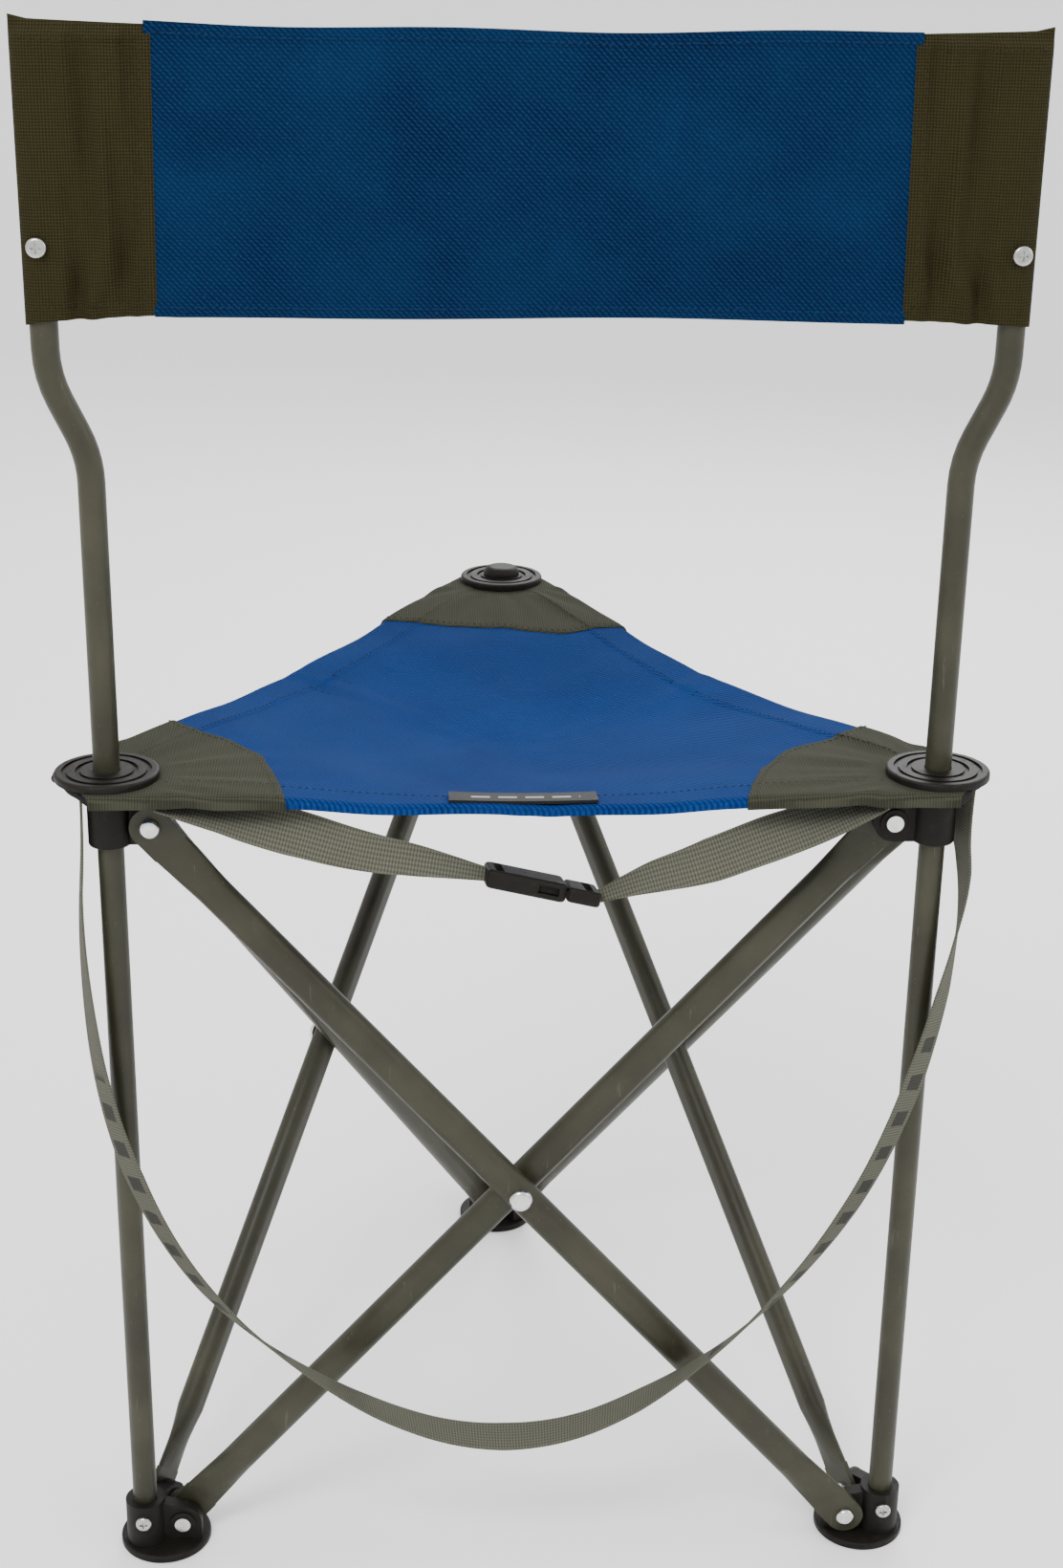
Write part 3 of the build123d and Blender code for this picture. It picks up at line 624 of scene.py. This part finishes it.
def sag(radius):
    """Height below the caps at this distance from the middle, by cubic curves between three points."""
    piece = np.clip(np.searchsorted(SAG_RADII, radius, side="right") - 1, 0, 1)
    width = SAG_RADII[piece + 1] - SAG_RADII[piece]
    u = np.clip((radius - SAG_RADII[piece]) / width, 0.0, 1.0)
    start, end = SAG_DROPS[piece], SAG_DROPS[piece + 1]
    rise_a, rise_b = SAG_SLOPES[piece] * width, SAG_SLOPES[piece + 1] * width
    return ((2 * u**3 - 3 * u**2 + 1) * start + (u**3 - 2 * u**2 + u) * rise_a
            + (3 * u**2 - 2 * u**3) * end + (u**3 - u**2) * rise_b)


def edge_arc(curve):
    """Centre (s, t) and radius of the arc that an edge follows, seen from the corner it leaves on +t."""
    half = side / 2 + TIP_REACH * np.cos(radians(30)) - TIP_HALF * np.sin(radians(30))
    outside = TIP_REACH * np.sin(radians(30)) + TIP_HALF * np.cos(radians(30))
    radius = (half**2 + curve**2) / (2 * curve)
    along, out = side / 2, outside - curve + radius
    return (along * np.cos(radians(30)) - out * np.sin(radians(30)),
            along * np.sin(radians(30)) + out * np.cos(radians(30)), radius)


def half_width(s, curve):
    """Width of a third on one side of its middle line: up to the cloth's edge or the next third."""
    cs, ct, radius = edge_arc(curve)
    to_edge = ct - np.sqrt(radius**2 - (s - cs) ** 2)
    to_next = (reach - s) * np.sqrt(3)
    return np.maximum(np.minimum(to_edge, to_next), 0.0)


def edge_distance(s, t, name):
    """Distance in from the nearer of the two edges that meet at this corner."""
    found = []
    for curve, way in ((EDGE_CURVE[SIDE_AFTER[name]], -1), (EDGE_CURVE[SIDE_BEFORE[name]], 1)):
        cs, ct, radius = edge_arc(curve)
        found.append(np.hypot(s - cs, way * t - ct) - radius)
    return np.minimum(*found)


def to_frame(s, t, z, name):
    """Points of a corner's own directions, in the frame."""
    xy = axis_xy[name] + s[..., None] * inward[name] + t[..., None] * across[name]
    return np.concatenate([xy, z[..., None]], axis=-1)


def seat_height(s, t, name):
    """Top of the cloth: sag, hem, and folds that run out from the cap where the cloth is pulled."""
    xy = axis_xy[name] + s[..., None] * inward[name] + t[..., None] * across[name] - centre_xy
    height = cloth_top + sag(np.linalg.norm(xy, axis=-1))
    hem = 1 - smooth_step(edge_distance(s, t, name), HEM_WIDTH - 0.001, HEM_WIDTH + 0.0006)
    away = np.hypot(s, t)
    turn = np.arctan2(t, s)
    pull = np.exp(-((away - 0.06) / 0.035) ** 2) * smooth_step(away, 0.03, 0.045)
    folds = 0.0007 * pull * np.cos(11 * turn + 0.6) + 0.0004 * pull * np.cos(23 * turn)
    slack = (0.0011 * np.sin(31 * s + 2.0) * np.sin(27 * t + 39 * s)
             + 0.0006 * np.sin(68 * t - 22 * s + 0.8)) * smooth_step(s, 0.06, 0.12)
    meet = smooth_step((reach - s) * np.sqrt(3) - np.abs(t), 0.0, 0.03)
    return height + HEM_RISE * hem + (folds + slack) * meet


# %% [markdown]
# Each part of a third is a grid: rows run inward from the cut tip, and columns spread from one edge
# to the other, so the outline needs no trimming. Near the edge the cloth rolls over: the last
# centimetre bends down, as a hem does.

# %% Build the seat's thirds
ROLL = 0.0045


def last_row(curve):
    """Where a third's edge ends, at the middle of the side: the row its outline turns in."""
    outside = TIP_REACH * np.sin(radians(30)) + TIP_HALF * np.cos(radians(30)) - curve
    return side / 2 * np.cos(radians(30)) - outside * np.sin(radians(30))


def third_grid(name, first_s, last_s, rows, columns):
    """Grid of (s, t) between two distances from the corner, from edge to edge."""
    curves = (EDGE_CURVE[SIDE_BEFORE[name]], EDGE_CURVE[SIDE_AFTER[name]])
    meets = [last_row(curve) for curve in curves if first_s < last_row(curve) < last_s]
    s = np.sort(np.concatenate([np.linspace(first_s, last_s, rows), meets]))[:, None] * np.ones((1, columns))
    # more columns near the edges, where the hem is
    v = np.linspace(-1, 1, columns)[None, :]
    v = np.sign(v) * (1 - (1 - np.abs(v)) ** 1.25)
    left = half_width(s, EDGE_CURVE[SIDE_BEFORE[name]])
    right = half_width(s, EDGE_CURVE[SIDE_AFTER[name]])
    return s, np.where(v > 0, v * left, v * right)


def rolled(s, t, name):
    """How far the cloth has rolled down at its edge: a quarter circle over the last few millimetres."""
    near = np.clip((ROLL - edge_distance(s, t, name)) / ROLL, 0.0, 1.0)
    return ROLL * (1 - np.sqrt(1 - (0.98 * near) ** 2))


def ride_seat(item, name, lifts):
    """The part under the cap stays with the hub; the rest goes with its corner's cloth body, which lifts."""
    if lifts:
        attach(item, f"{name}_cloth")
        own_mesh(item)
    else:
        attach(item, HUB_BODY[name])
        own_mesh(item)


HUB_BODY = {"back_left": "back_left_slider", "back_right": "back_right_slider", "front": "front_corner"}
seat_pieces = {}
for name in CORNERS:
    for part, first_s, last_s, rows, columns in (("under_cap", -TIP_REACH, LIFT_LINE, 34, 73),
                                                 ("lifting", LIFT_LINE, reach, 120, 161)):
        s, t = third_grid(name, first_s, last_s, rows, columns)
        z = seat_height(s, t, name) - rolled(s, t, name)
        upper = to_frame(s, t, z, name)
        lower = to_frame(s, t, z - SHEET_THICK - 0.0006, name)
        item = shell(f"{name}_seat_twill_{part}", upper, lower, upper[..., :2], seat_twill)
        seat_pieces[name, part] = item
    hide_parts(f"{name}_seat_cloth")
    for part in ("under_cap", "lifting"):
        ride_seat(seat_pieces[name, part], name, part == "lifting")
print("seat thirds made")

# %% [markdown]
# ## Corner patches
# A grey patch covers each corner. Its inner border slants and is a little uneven, and each corner
# has its own, so a few points give it and a blur rounds them. It lies on the blue cloth, and a row
# of stitches holds its border down.

# %% Patches
PATCH_THICK = 0.0011
PATCH_OVERLAP = 0.0002  # how far the patch's underside sits in the blue cloth


BORDER = {  # (t, reach) of the patch's inner border, in millimetres
    "back_left": [(-88, 62), (-70, 68), (-33, 82), (4, 92), (33, 86), (45, 77), (88, 66)],
    "back_right": [(-88, 56), (-75, 60), (-43, 70), (-12, 91), (24, 91), (50, 85), (74, 78), (88, 72)],
    "front": [(-90, 80), (-75, 84), (-40, 88), (0, 92), (36, 105), (55, 98), (85, 95), (92, 93)],
}
BORDER_T = np.linspace(-0.12, 0.12, 481)
BORDER_BLUR = np.hanning(25) / np.hanning(25).sum()


def border_table(points):
    """The border read every half millimetre and blurred over a centimetre, so its corners are round."""
    t, s = np.array(points).T / 1000
    read = np.interp(BORDER_T, t, s)
    return np.convolve(np.pad(read, BORDER_BLUR.size // 2, mode="edge"), BORDER_BLUR, mode="valid")


BORDER_S = {name: border_table(points) for name, points in BORDER.items()}


def patch_border(t, name):
    """How far in the patch reaches at t."""
    return np.interp(t, BORDER_T, BORDER_S[name])


def patch_grid(name, lifts, rows, columns):
    """Grid of a patch: columns from edge to edge, rows from the tip or the lift line to the border."""
    v = np.linspace(-1, 1, columns)
    v = np.sign(v) * (1 - (1 - np.abs(v)) ** 1.25)
    u = np.linspace(0, 1, rows)[:, None]
    if not lifts:
        s, t = third_grid(name, -TIP_REACH, LIFT_LINE, rows, columns)
        return s, t
    curve = {1: EDGE_CURVE[SIDE_BEFORE[name]], -1: EDGE_CURVE[SIDE_AFTER[name]]}
    last = np.full(columns, 0.07)
    for _ in range(30):
        wide = np.where(v > 0, half_width(last, curve[1]), half_width(last, curve[-1]))
        last = 0.5 * last + 0.5 * patch_border(v * wide, name)
    s = LIFT_LINE + u * (last[None, :] - LIFT_LINE)
    wide = np.where(v[None, :] > 0, half_width(s, curve[1]), half_width(s, curve[-1]))
    return s, v[None, :] * wide


for name in CORNERS:
    for part, lifts in (("under_cap", False), ("lifting", True)):
        s, t = patch_grid(name, lifts, 34 if not lifts else 60, 73)
        under = seat_height(s, t, name) - rolled(s, t, name)
        border = smooth_step(patch_border(t, name) - s, -0.0001, 0.0012) if lifts else np.ones_like(s)
        # the patch wraps the rolled edge, so it stands proud of the blue cloth at the edge too
        proud = t * (1 + PATCH_THICK / np.maximum(np.abs(t), 0.02))
        upper = to_frame(s, proud, under + PATCH_THICK * (0.35 + 0.65 * border), name)
        lower = to_frame(s, t, under - PATCH_OVERLAP, name)
        edge_low = to_frame(s, proud, under - SHEET_THICK - 0.0012, name)
        wrap = smooth_step(0.0035 - edge_distance(s, t, name), 0.0, 0.0015)[..., None]
        lower = lower * (1 - wrap) + edge_low * wrap
        item = shell(f"{name}_grey_patch_{part}", upper, lower, upper[..., :2], patch_weave)
        if lifts:
            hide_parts(f"{name}_seat_patch")
        ride_seat(item, name, lifts)

    # stitches along the patch border and along both hems
    v = np.linspace(-0.93, 0.93, 160)
    s, t = patch_grid(name, True, 60, 73)
    rim_t = np.interp(v, np.linspace(-1, 1, 73), t[-1])
    rim_s = patch_border(rim_t, name) - 0.004
    lines = {True: [], False: []}
    lines[True].append(to_frame(rim_s, rim_t, seat_height(rim_s, rim_t, name) + PATCH_THICK, name))
    hem = {"blue": [], "grey": {True: [], False: []}}
    for way, which in ((1, SIDE_BEFORE), (-1, SIDE_AFTER)):
        curve = EDGE_CURVE[which[name]]
        s = np.linspace(-TIP_REACH + 0.004, 0.185, 900)
        t = way * (half_width(s, curve) - (HEM_WIDTH - 0.003) / np.cos(radians(30)))
        keep = (np.hypot(s, t) > 0.0305) & (np.abs(t) < (reach - s) * np.sqrt(3) - 0.001) & (t * way > 0.002)
        s, t = s[keep], t[keep]
        on_patch = s < patch_border(t, name)
        z = seat_height(s, t, name) + np.where(on_patch, PATCH_THICK, 0.0)
        line = to_frame(s, t, z, name)
        lifted = s > LIFT_LINE + 0.001
        hem["blue"].append(line[~on_patch])
        hem["grey"][True].append(line[on_patch & lifted])
        if (on_patch & (s < LIFT_LINE - 0.002)).sum() > 12:
            hem["grey"][False].append(line[on_patch & (s < LIFT_LINE - 0.002)])
    up = (0, 0, 1)
    sewn = [(stitches(f"{name}_hem_stitches", hem["blue"], up, blue_thread), True, "blue_cloth"),
            (stitches(f"{name}_patch_stitches", lines[True] + hem["grey"][True], up, grey_thread), True,
             "grey_cloth")]
    if hem["grey"][False]:
        sewn.append((stitches(f"{name}_tip_stitches", hem["grey"][False], up, grey_thread), False,
                     "grey_cloth"))
    for item, lifts, which in sewn:
        ride_seat(item, name, lifts)
print("patches and stitches made")

# %% [markdown]
# ## Bound tips and the label
# The raw corner of each tip is bound with a rolled black cord. The label is a narrow tape sewn flat
# on the hem near the backrest.


# %% Tip binding
def tube_mesh(name, line, radii, sides, material, flat_scale=1.0):
    """Round bead along a line of points, with a radius at each; its ends come to a point."""
    line = np.asarray(line, float)
    way = np.gradient(line, axis=0)
    way /= np.linalg.norm(way, axis=1, keepdims=True)
    wide = np.cross(way, (0, 0, 1.0))
    wide /= np.linalg.norm(wide, axis=1, keepdims=True)
    high = np.cross(wide, way)
    ring = np.arange(sides) * 2 * np.pi / sides
    around = (np.cos(ring)[None, :, None] * wide[:, None, :]
              + np.sin(ring)[None, :, None] * high[:, None, :])
    points = line[:, None, :] + radii[:, None, None] * around
    count = len(line)
    flat = np.stack(np.broadcast_arrays(np.arange(count)[:, None] * 0.001 * flat_scale,
                                        ring[None, :] * 0.002), axis=-1)
    return mesh_piece(name, points.reshape(-1, 3), grid_faces(count, sides, closed=True),
                      flat.reshape(-1, 2), material, 80)


for name in CORNERS:
    v = np.linspace(-1, 1, 41)
    t = v * TIP_HALF * 1.08
    s = -TIP_REACH - 0.0008 + 0.0035 * np.abs(v) ** 6
    z = seat_height(s, t, name) - 0.001 - 0.0035 * np.abs(v) ** 4
    radii = 0.0021 * np.sqrt(np.clip(1 - np.abs(v) ** 8, 0, 1)) * (1 + 0.25 * np.cos(6 * v + 1))
    item = tube_mesh(f"{name}_tip_binding", to_frame(s, t, z, name), radii, 14, binding_black)
    ride_seat(item, name, False)

LABEL_RISE = 0.0019
LABEL_THICK = 0.0018
label_low, label_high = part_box("seat_label")
x = np.linspace(label_low[0], label_high[0], 90)[:, None] * np.ones((1, 18))
y = np.linspace(label_low[1] - 0.003, label_high[1] + 0.005, 18)[None, :] * np.ones((90, 1))
height = cloth_top + sag(np.linalg.norm(np.stack([x, y], axis=-1) - centre_xy, axis=-1)) + HEM_RISE
tape = np.stack([x, y, height + LABEL_RISE], axis=-1)
middle = np.array([(label_low[0] + label_high[0]) / 2, (label_low[1] + label_high[1]) / 2])
label = shell("seat_label_tape", tape, tape - (0, 0, LABEL_THICK), tape[..., :2] - middle, label_tape)
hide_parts("seat_label")
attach(label, "back_left_cloth")
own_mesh(label)

# %% [markdown]
# ## The backrest
# A blue panel hangs between two olive sleeves that slip over the posts. The panel is a sheet with
# long soft pulls between the sleeves. Each sleeve is one cloth wrapped round its post and sewn shut
# at the seam, so its section is a drop: round at the post, flat at the seam. At the top it is
# pressed shut over the post's end, which leaves the corner peaked.

# %% Backrest panel
panel_low, panel_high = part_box("back_left_backrest_panel")
back_low, back_high = panel_low[2], panel_high[2]
SEAM = -panel_low[0]
PANEL_THICK = 0.0022
BACK_HEM = 0.006


def panel_depth(x, z):
    """Y of the panel: a slow bulge and long pulls that run in from the sleeves."""
    u = x / SEAM
    v = (z - back_low) / (back_high - back_low)
    bulge = -0.0030 * (1 - u**2) * np.sin(np.pi * v)
    near_seam = smooth_step(np.abs(u), 0.1, 0.95)
    pulls = (0.0013 * near_seam * np.sin(9.0 * v + 2.2 * u)
             + 0.0008 * near_seam * np.sin(19.0 * v - 3.1 * u + 1.0)
             + 0.0010 * (1 - near_seam) * np.sin(5.0 * v + 3.5 * u + 0.7))
    flat_at_seam = 1 - smooth_step(np.abs(u), 0.93, 0.99)
    return back_y + bulge + pulls * flat_at_seam


def panel_edge(x, top):
    """Height of the panel's top or bottom edge, with a slight slack between the sleeves."""
    u = x / SEAM
    slack = 0.0018 * (1 - u**2)
    if top:
        return back_high - slack - 0.0008 * np.sin(7 * u)
    return back_low + 0.6 * slack + 0.0006 * np.sin(5 * u)


for name, way in (("back_left", -1), ("back_right", 1)):
    x = way * np.linspace(0.0, SEAM, 120)[:, None] * np.ones((1, 90))
    v = np.linspace(0, 1, 90)[None, :]
    v = 0.5 - 0.5 * np.cos(np.pi * v)
    z = panel_edge(x, False) * (1 - v) + panel_edge(x, True) * v
    hem = (1 - smooth_step(z - panel_edge(x, False), BACK_HEM - 0.0008, BACK_HEM + 0.0006)
           + 1 - smooth_step(panel_edge(x, True) - z, BACK_HEM - 0.0008, BACK_HEM + 0.0006))
    depth = panel_depth(x, z)
    thick = PANEL_THICK / 2 + 0.0006 * hem
    front = np.stack([x, depth - thick, z], axis=-1)
    rear = np.stack([x, depth + thick, z], axis=-1)
    item = shell(f"{name}_panel", front, rear, np.stack([x, z], axis=-1), back_twill_painted_shade)
    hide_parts(f"{name}_backrest_panel")
    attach(item, f"{name}_panel")
    x = way * np.linspace(0.002, SEAM - 0.001, 500)
    lines = []
    for top in (False, True):
        z = panel_edge(x, top) + (-BACK_HEM + 0.001 if top else BACK_HEM - 0.001)
        lines.append(np.stack([x, panel_depth(x, z) - PANEL_THICK / 2 - 0.0006, z], axis=1))
    sewn = stitches(f"{name}_panel_stitches", lines, (0, -1, 0), blue_thread)
    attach(sewn, f"{name}_panel")

# %% Backrest sleeves
SLEEVE_WALL = 0.0011
POST_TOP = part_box("back_left_post_plug")[1][2]
POST_X = float(np.mean([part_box("back_left_post_plug")[0][0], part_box("back_left_post_plug")[1][0]]))
SLEEVE_RADIUS = 0.0087


def sleeve_section(turn, v, z, way, shrink):
    """Drop shaped loop round the post: turn is measured from its outer side, v is 0 below and 1 on top."""
    # the loop's outline: a circle at the post, drawn out to a flat tail at the seam
    tail = 0.5 - 0.5 * np.cos(turn)
    radius = SLEEVE_RADIUS - shrink
    span = abs(POST_X) - SEAM
    drawn = np.clip(2 * tail - 1, 0, 1)
    out = np.where(tail < 0.5, radius * np.cos(turn), -(span + 0.0022) * drawn**1.15)
    thin = (1 - drawn) ** 0.75
    sign = np.sign(np.sin(turn) + 1e-12)
    depth = sign * np.where(tail < 0.5, radius * np.abs(np.sin(turn)),
                            np.maximum(radius * thin, 0.0016 - shrink))
    # vertical wrinkles between the post and the seam
    inner = smooth_step(-out, 0.004, 0.018) * smooth_step(span + out, 0.002, 0.012)
    wrinkle = 0.0019 * inner * (np.sin(281 * out + 3 * v) + 0.6 * np.sin(520 * out - 5 * v + sign))
    low_pull = 0.0016 * np.exp(-((v - 0.18) / 0.16) ** 2) * inner * np.sin(330 * out + 14 * v)
    wrinkle = wrinkle + low_pull
    depth = depth + wrinkle
    # pressed flat above the post's end, and closed at the very top
    pressed = smooth_step(z, POST_TOP - 0.001, back_high - 0.0015)
    closed = np.clip((v - 0.985) / 0.015, 0, 1)
    depth = depth * (1 - 0.75 * pressed) * np.sqrt(1 - closed**2)
    lean = way * 0.0022 * (0.5 - v)
    x = way * (abs(POST_X) + out) + lean * smooth_step(-out, 0.0, span)
    return x, back_y + depth


def sleeve_height(v, out_share, top_peak, low_drop):
    """Rows between the bottom and the top edge, which peak at the outer side."""
    low = back_low - low_drop * out_share + 0.0012 * (1 - out_share)
    high = back_high + top_peak * out_share - 0.0012 * (1 - out_share)
    return low + v * (high - low)


for name, way in (("back_left", -1), ("back_right", 1)):
    columns, rows = 144, 110
    turn = np.linspace(0, 2 * np.pi, columns, endpoint=False)[None, :] * np.ones((rows, 1))
    v = np.linspace(0, 1, rows)[:, None] * np.ones((1, columns))
    out_share = 0.5 + 0.5 * np.cos(turn)
    z = sleeve_height(v, out_share, 0.0028, 0.0035 if way < 0 else 0.001)
    grids = []
    for shrink in (0.0, SLEEVE_WALL):
        x, y = sleeve_section(turn, v, z, way, shrink)
        grids.append(np.stack([x, y, z - (0.0012 * v if shrink else 0.0)], axis=-1))
    count = rows * columns
    outer, inner = (g.reshape(-1, 3) for g in grids)
    low_rim = np.arange(columns)
    next_rim = np.roll(low_rim, -1)
    low_faces = np.stack([low_rim, low_rim + count, next_rim + count, next_rim], axis=-1)
    faces = np.concatenate([grid_faces(rows, columns, closed=True),
                            grid_faces(rows, columns, count, closed=True)[:, ::-1], low_faces])
    round_way = np.cumsum(np.concatenate([[0], np.linalg.norm(np.diff(grids[0][0], axis=0), axis=1)]))
    flat = np.stack([np.broadcast_to(round_way, (rows, columns)), z], axis=-1).reshape(-1, 2)
    item = mesh_piece(f"{name}_sleeve", np.concatenate([outer, inner]), faces, np.concatenate([flat, flat]),
                      sleeve_weave, 60)
    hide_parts(f"{name}_backrest_sleeve")
    leg = f"{name}_leg"
    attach(item, leg)
    # hem rows at the bottom and the top, and two rows beside the seam
    lines = []
    span = abs(POST_X) - SEAM
    for low in (True, False):
        out = np.linspace(0.004, -span + 0.001, 300)
        share = (out + span) / span
        angle = np.where(out > 0, -np.arccos(np.clip(out / SLEEVE_RADIUS, -1, 1)),
                         -np.arccos(-np.clip(-out / (span + 0.0022), 0, 1) ** (1 / 1.15)))
        v = np.full_like(out, 0.048 if low else 0.94)
        z = sleeve_height(v, 0.5 + 0.5 * np.cos(angle), 0.0028, 0.0035 if way < 0 else 0.001)
        x, y = sleeve_section(angle, v, z, way, 0.0)
        lines.append(np.stack([x, y, z], axis=1))
    for inset in (0.0035, 0.0068):
        v = np.linspace(0.03, 0.97, 300)
        z = back_low + v * (back_high - back_low)
        angle = np.full_like(z, -np.arccos(-((span - inset) / (span + 0.0022)) ** (1 / 1.15)))
        x, y = sleeve_section(angle, v, z, way, 0.0)
        lines.append(np.stack([x, y, z], axis=1))
    sewn = stitches(f"{name}_sleeve_stitches", lines, (0, -1, 0), olive_thread)
    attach(sewn, leg)
print("backrest made")

# %% [markdown]
# ## Straps
# A flat strap is a ribbon carried along a smooth line. The line is a spline through the strap's
# route. At each step the ribbon is turned about the line by an angle that changes slowly, which is
# how a hanging strap shows its face at the sides and lies edge on where it turns.


# %% Ribbon along a route
def route_curve(name, route):
    """Smooth open spline with the route's points as its control points."""
    curve = bpy.data.curves.new(name, "CURVE")
    curve.dimensions = "3D"
    curve.resolution_u = 16
    spline = curve.splines.new("NURBS")
    spline.points.add(len(route) - 1)
    spline.points.foreach_set("co", np.c_[np.array(route), np.ones(len(route))].ravel())
    spline.order_u = 3
    spline.use_endpoint_u = True
    item = bpy.data.objects.new(name, curve)
    read = bpy.data.meshes.new_from_object(item)
    line = np.empty(len(read.vertices) * 3)
    read.vertices.foreach_get("co", line)
    bpy.data.meshes.remove(read)
    bpy.data.objects.remove(item)
    bpy.data.curves.remove(curve)
    return line.reshape(-1, 3)


def evenly(line, step):
    """The same line with its points about step apart, and the distance walked at each."""
    lengths = np.linalg.norm(np.diff(line, axis=0), axis=1)
    walked = np.concatenate([[0.0], np.cumsum(lengths)])
    count = int(walked[-1] / step) + 1
    where = np.linspace(0, walked[-1], count)
    return np.stack([np.interp(where, walked, line[:, k]) for k in range(3)], axis=1), where


def ribbon(name, line, walked, face, width, thick, material, printed=None):
    """Closed flat strap: face is the direction its face looks at every point of the line."""
    way = np.gradient(line, axis=0)
    way /= np.linalg.norm(way, axis=1, keepdims=True)
    face = face - np.sum(face * way, axis=1, keepdims=True) * way
    face /= np.linalg.norm(face, axis=1, keepdims=True)
    wide = np.cross(way, face)
    v = np.linspace(-1, 1, 15)
    width = np.broadcast_to(width, walked.shape)
    over = width[:, None] * v[None, :] / 2
    round_edge = thick / 2 * np.sqrt(1 - (0.92 * v) ** 8)
    middle = line[:, None, :] + over[:, :, None] * wide[:, None, :]
    upper = middle + round_edge[None, :, None] * face[:, None, :]
    lower = middle - round_edge[None, :, None] * face[:, None, :]
    flat = np.stack(np.broadcast_arrays(walked[:, None], over), axis=-1)
    extra = None if printed is None else ("printed", printed[:, None] * np.ones((1, 15)))
    return shell(name, upper, lower, flat, material, extra, 60)


STRAP_WIDTH, STRAP_THICK = 0.025, 0.0015


def from_back_line(points):
    """Millimetres from the line between the two back corners, as metres of the frame."""
    return [(x / 1000, y / 1000 + back_y, z / 1000) for x, y, z in points]


# %% Carrying loop
shoulder_route = from_back_line([
    (-235, 4, 485.4), (-235, 4, 453), (-238, -1, 412), (-236, -8, 366), (-230, -17, 320),
    (-218, -26, 276), (-197, -31, 226), (-168, -32, 182), (-130, -31, 145), (-82, -28, 110),
    (-30, -25, 88), (26, -25, 90), (76, -29, 118), (120, -31, 155), (159, -32, 202),
    (188, -31, 249), (209, -26, 297), (225, -17, 346), (236, -7, 394), (240, 0, 430),
    (235, 4, 459), (235, 4, 485.4),
])
line, walked = evenly(route_curve("loop", shoulder_route), 0.004)
share = walked / walked[-1]
# the face looks up where the loop lies low, and turns to the outside and the front at its sides
turn = np.interp(share,
                 [0, .06, .13, .22, .30, .35, .42, .5, .58, .64, .69, .75, .83, .88, .91, .95, 1.0],
                 np.radians([8, 9, 22, 38, 36, 28, 10, 0, 8, 26, 36, 42, 42, 32, 19, -5, -20]))
way = np.gradient(line, axis=0)
way /= np.linalg.norm(way, axis=1, keepdims=True)
inside = np.cross(way, (0.0, 1.0, 0.0))
inside /= np.linalg.norm(inside, axis=1, keepdims=True)
rearward = np.cross(inside, way)
face = np.cos(turn)[:, None] * inside + np.sin(turn)[:, None] * rearward
printed = smooth_step(share, 0.16, 0.165) * (1 - smooth_step(share, 0.36, 0.365)) \
    + smooth_step(share, 0.62, 0.625) * (1 - smooth_step(share, 0.86, 0.865))
loop = ribbon("carrying_loop", line, walked, face, STRAP_WIDTH, STRAP_THICK, printed_webbing, printed)
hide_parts("shoulder_strap")
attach(loop, "back_left_slider")
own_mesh(loop)
print("carrying loop", round(walked[-1], 3), "m")

# %% Closing strap
left_route = from_back_line([
    (-192, -15, 481), (-162, -18, 474), (-125, -21, 466), (-88, -22, 454.5), (-52, -22, 448.25),
    (-22, -22, 441.5),
])
right_route = from_back_line([
    (38, -22, 428), (62, -22, 438), (92, -22, 446), (128, -20, 460), (160, -17, 470), (188, -14, 481),
])
for name, route, body, turns, keep, widths in (
        ("left_strap", left_route, "back_left_slider", [8, 25, 62, 84, 62, 30], 0.1,
         [1, 1, 1, 0.9, 0.66, 0.36]),
        ("right_strap", right_route, "buckle_plug", [20, 50, 62, 58, 35, 12], 0.1,
         [0.36, 0.7, 0.95, 1, 1, 1])):
    line, walked = evenly(route_curve(name, route), 0.003)
    share = walked / walked[-1]
    turn = np.radians(np.interp(share, np.linspace(0, 1, 6), turns))
    way = np.gradient(line, axis=0)
    way /= np.linalg.norm(way, axis=1, keepdims=True)
    up = np.cross(way, (0.0, 1.0, 0.0)) * -1
    up *= np.sign(up[:, 2:3])
    up /= np.linalg.norm(up, axis=1, keepdims=True)
    toward = np.cross(up, way)
    toward *= -np.sign(toward[:, 1:2])
    face = np.cos(turn)[:, None] * up + np.sin(turn)[:, None] * toward
    width = STRAP_WIDTH * np.interp(share, np.linspace(0, 1, 6), widths)
    item = ribbon(f"{name}_webbing", line, walked, face, width, STRAP_THICK, plain_webbing)
    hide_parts(name)
    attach(item, body)
    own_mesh(item)
    print(name, round(walked[-1], 3), "m")

# %% [markdown]
# The area of one face of each lifting third of the seat is worked out.

# %% Seat cloth areas


def triangle_area(item):
    """Area of one face of a shell: half of its whole surface."""
    areas = np.empty(len(item.data.polygons))
    item.data.polygons.foreach_get("area", areas)
    return float(areas.sum()) / 2


for name in CORNERS:
    cloth = seat_pieces[name, "lifting"]
    triangle_area(cloth)
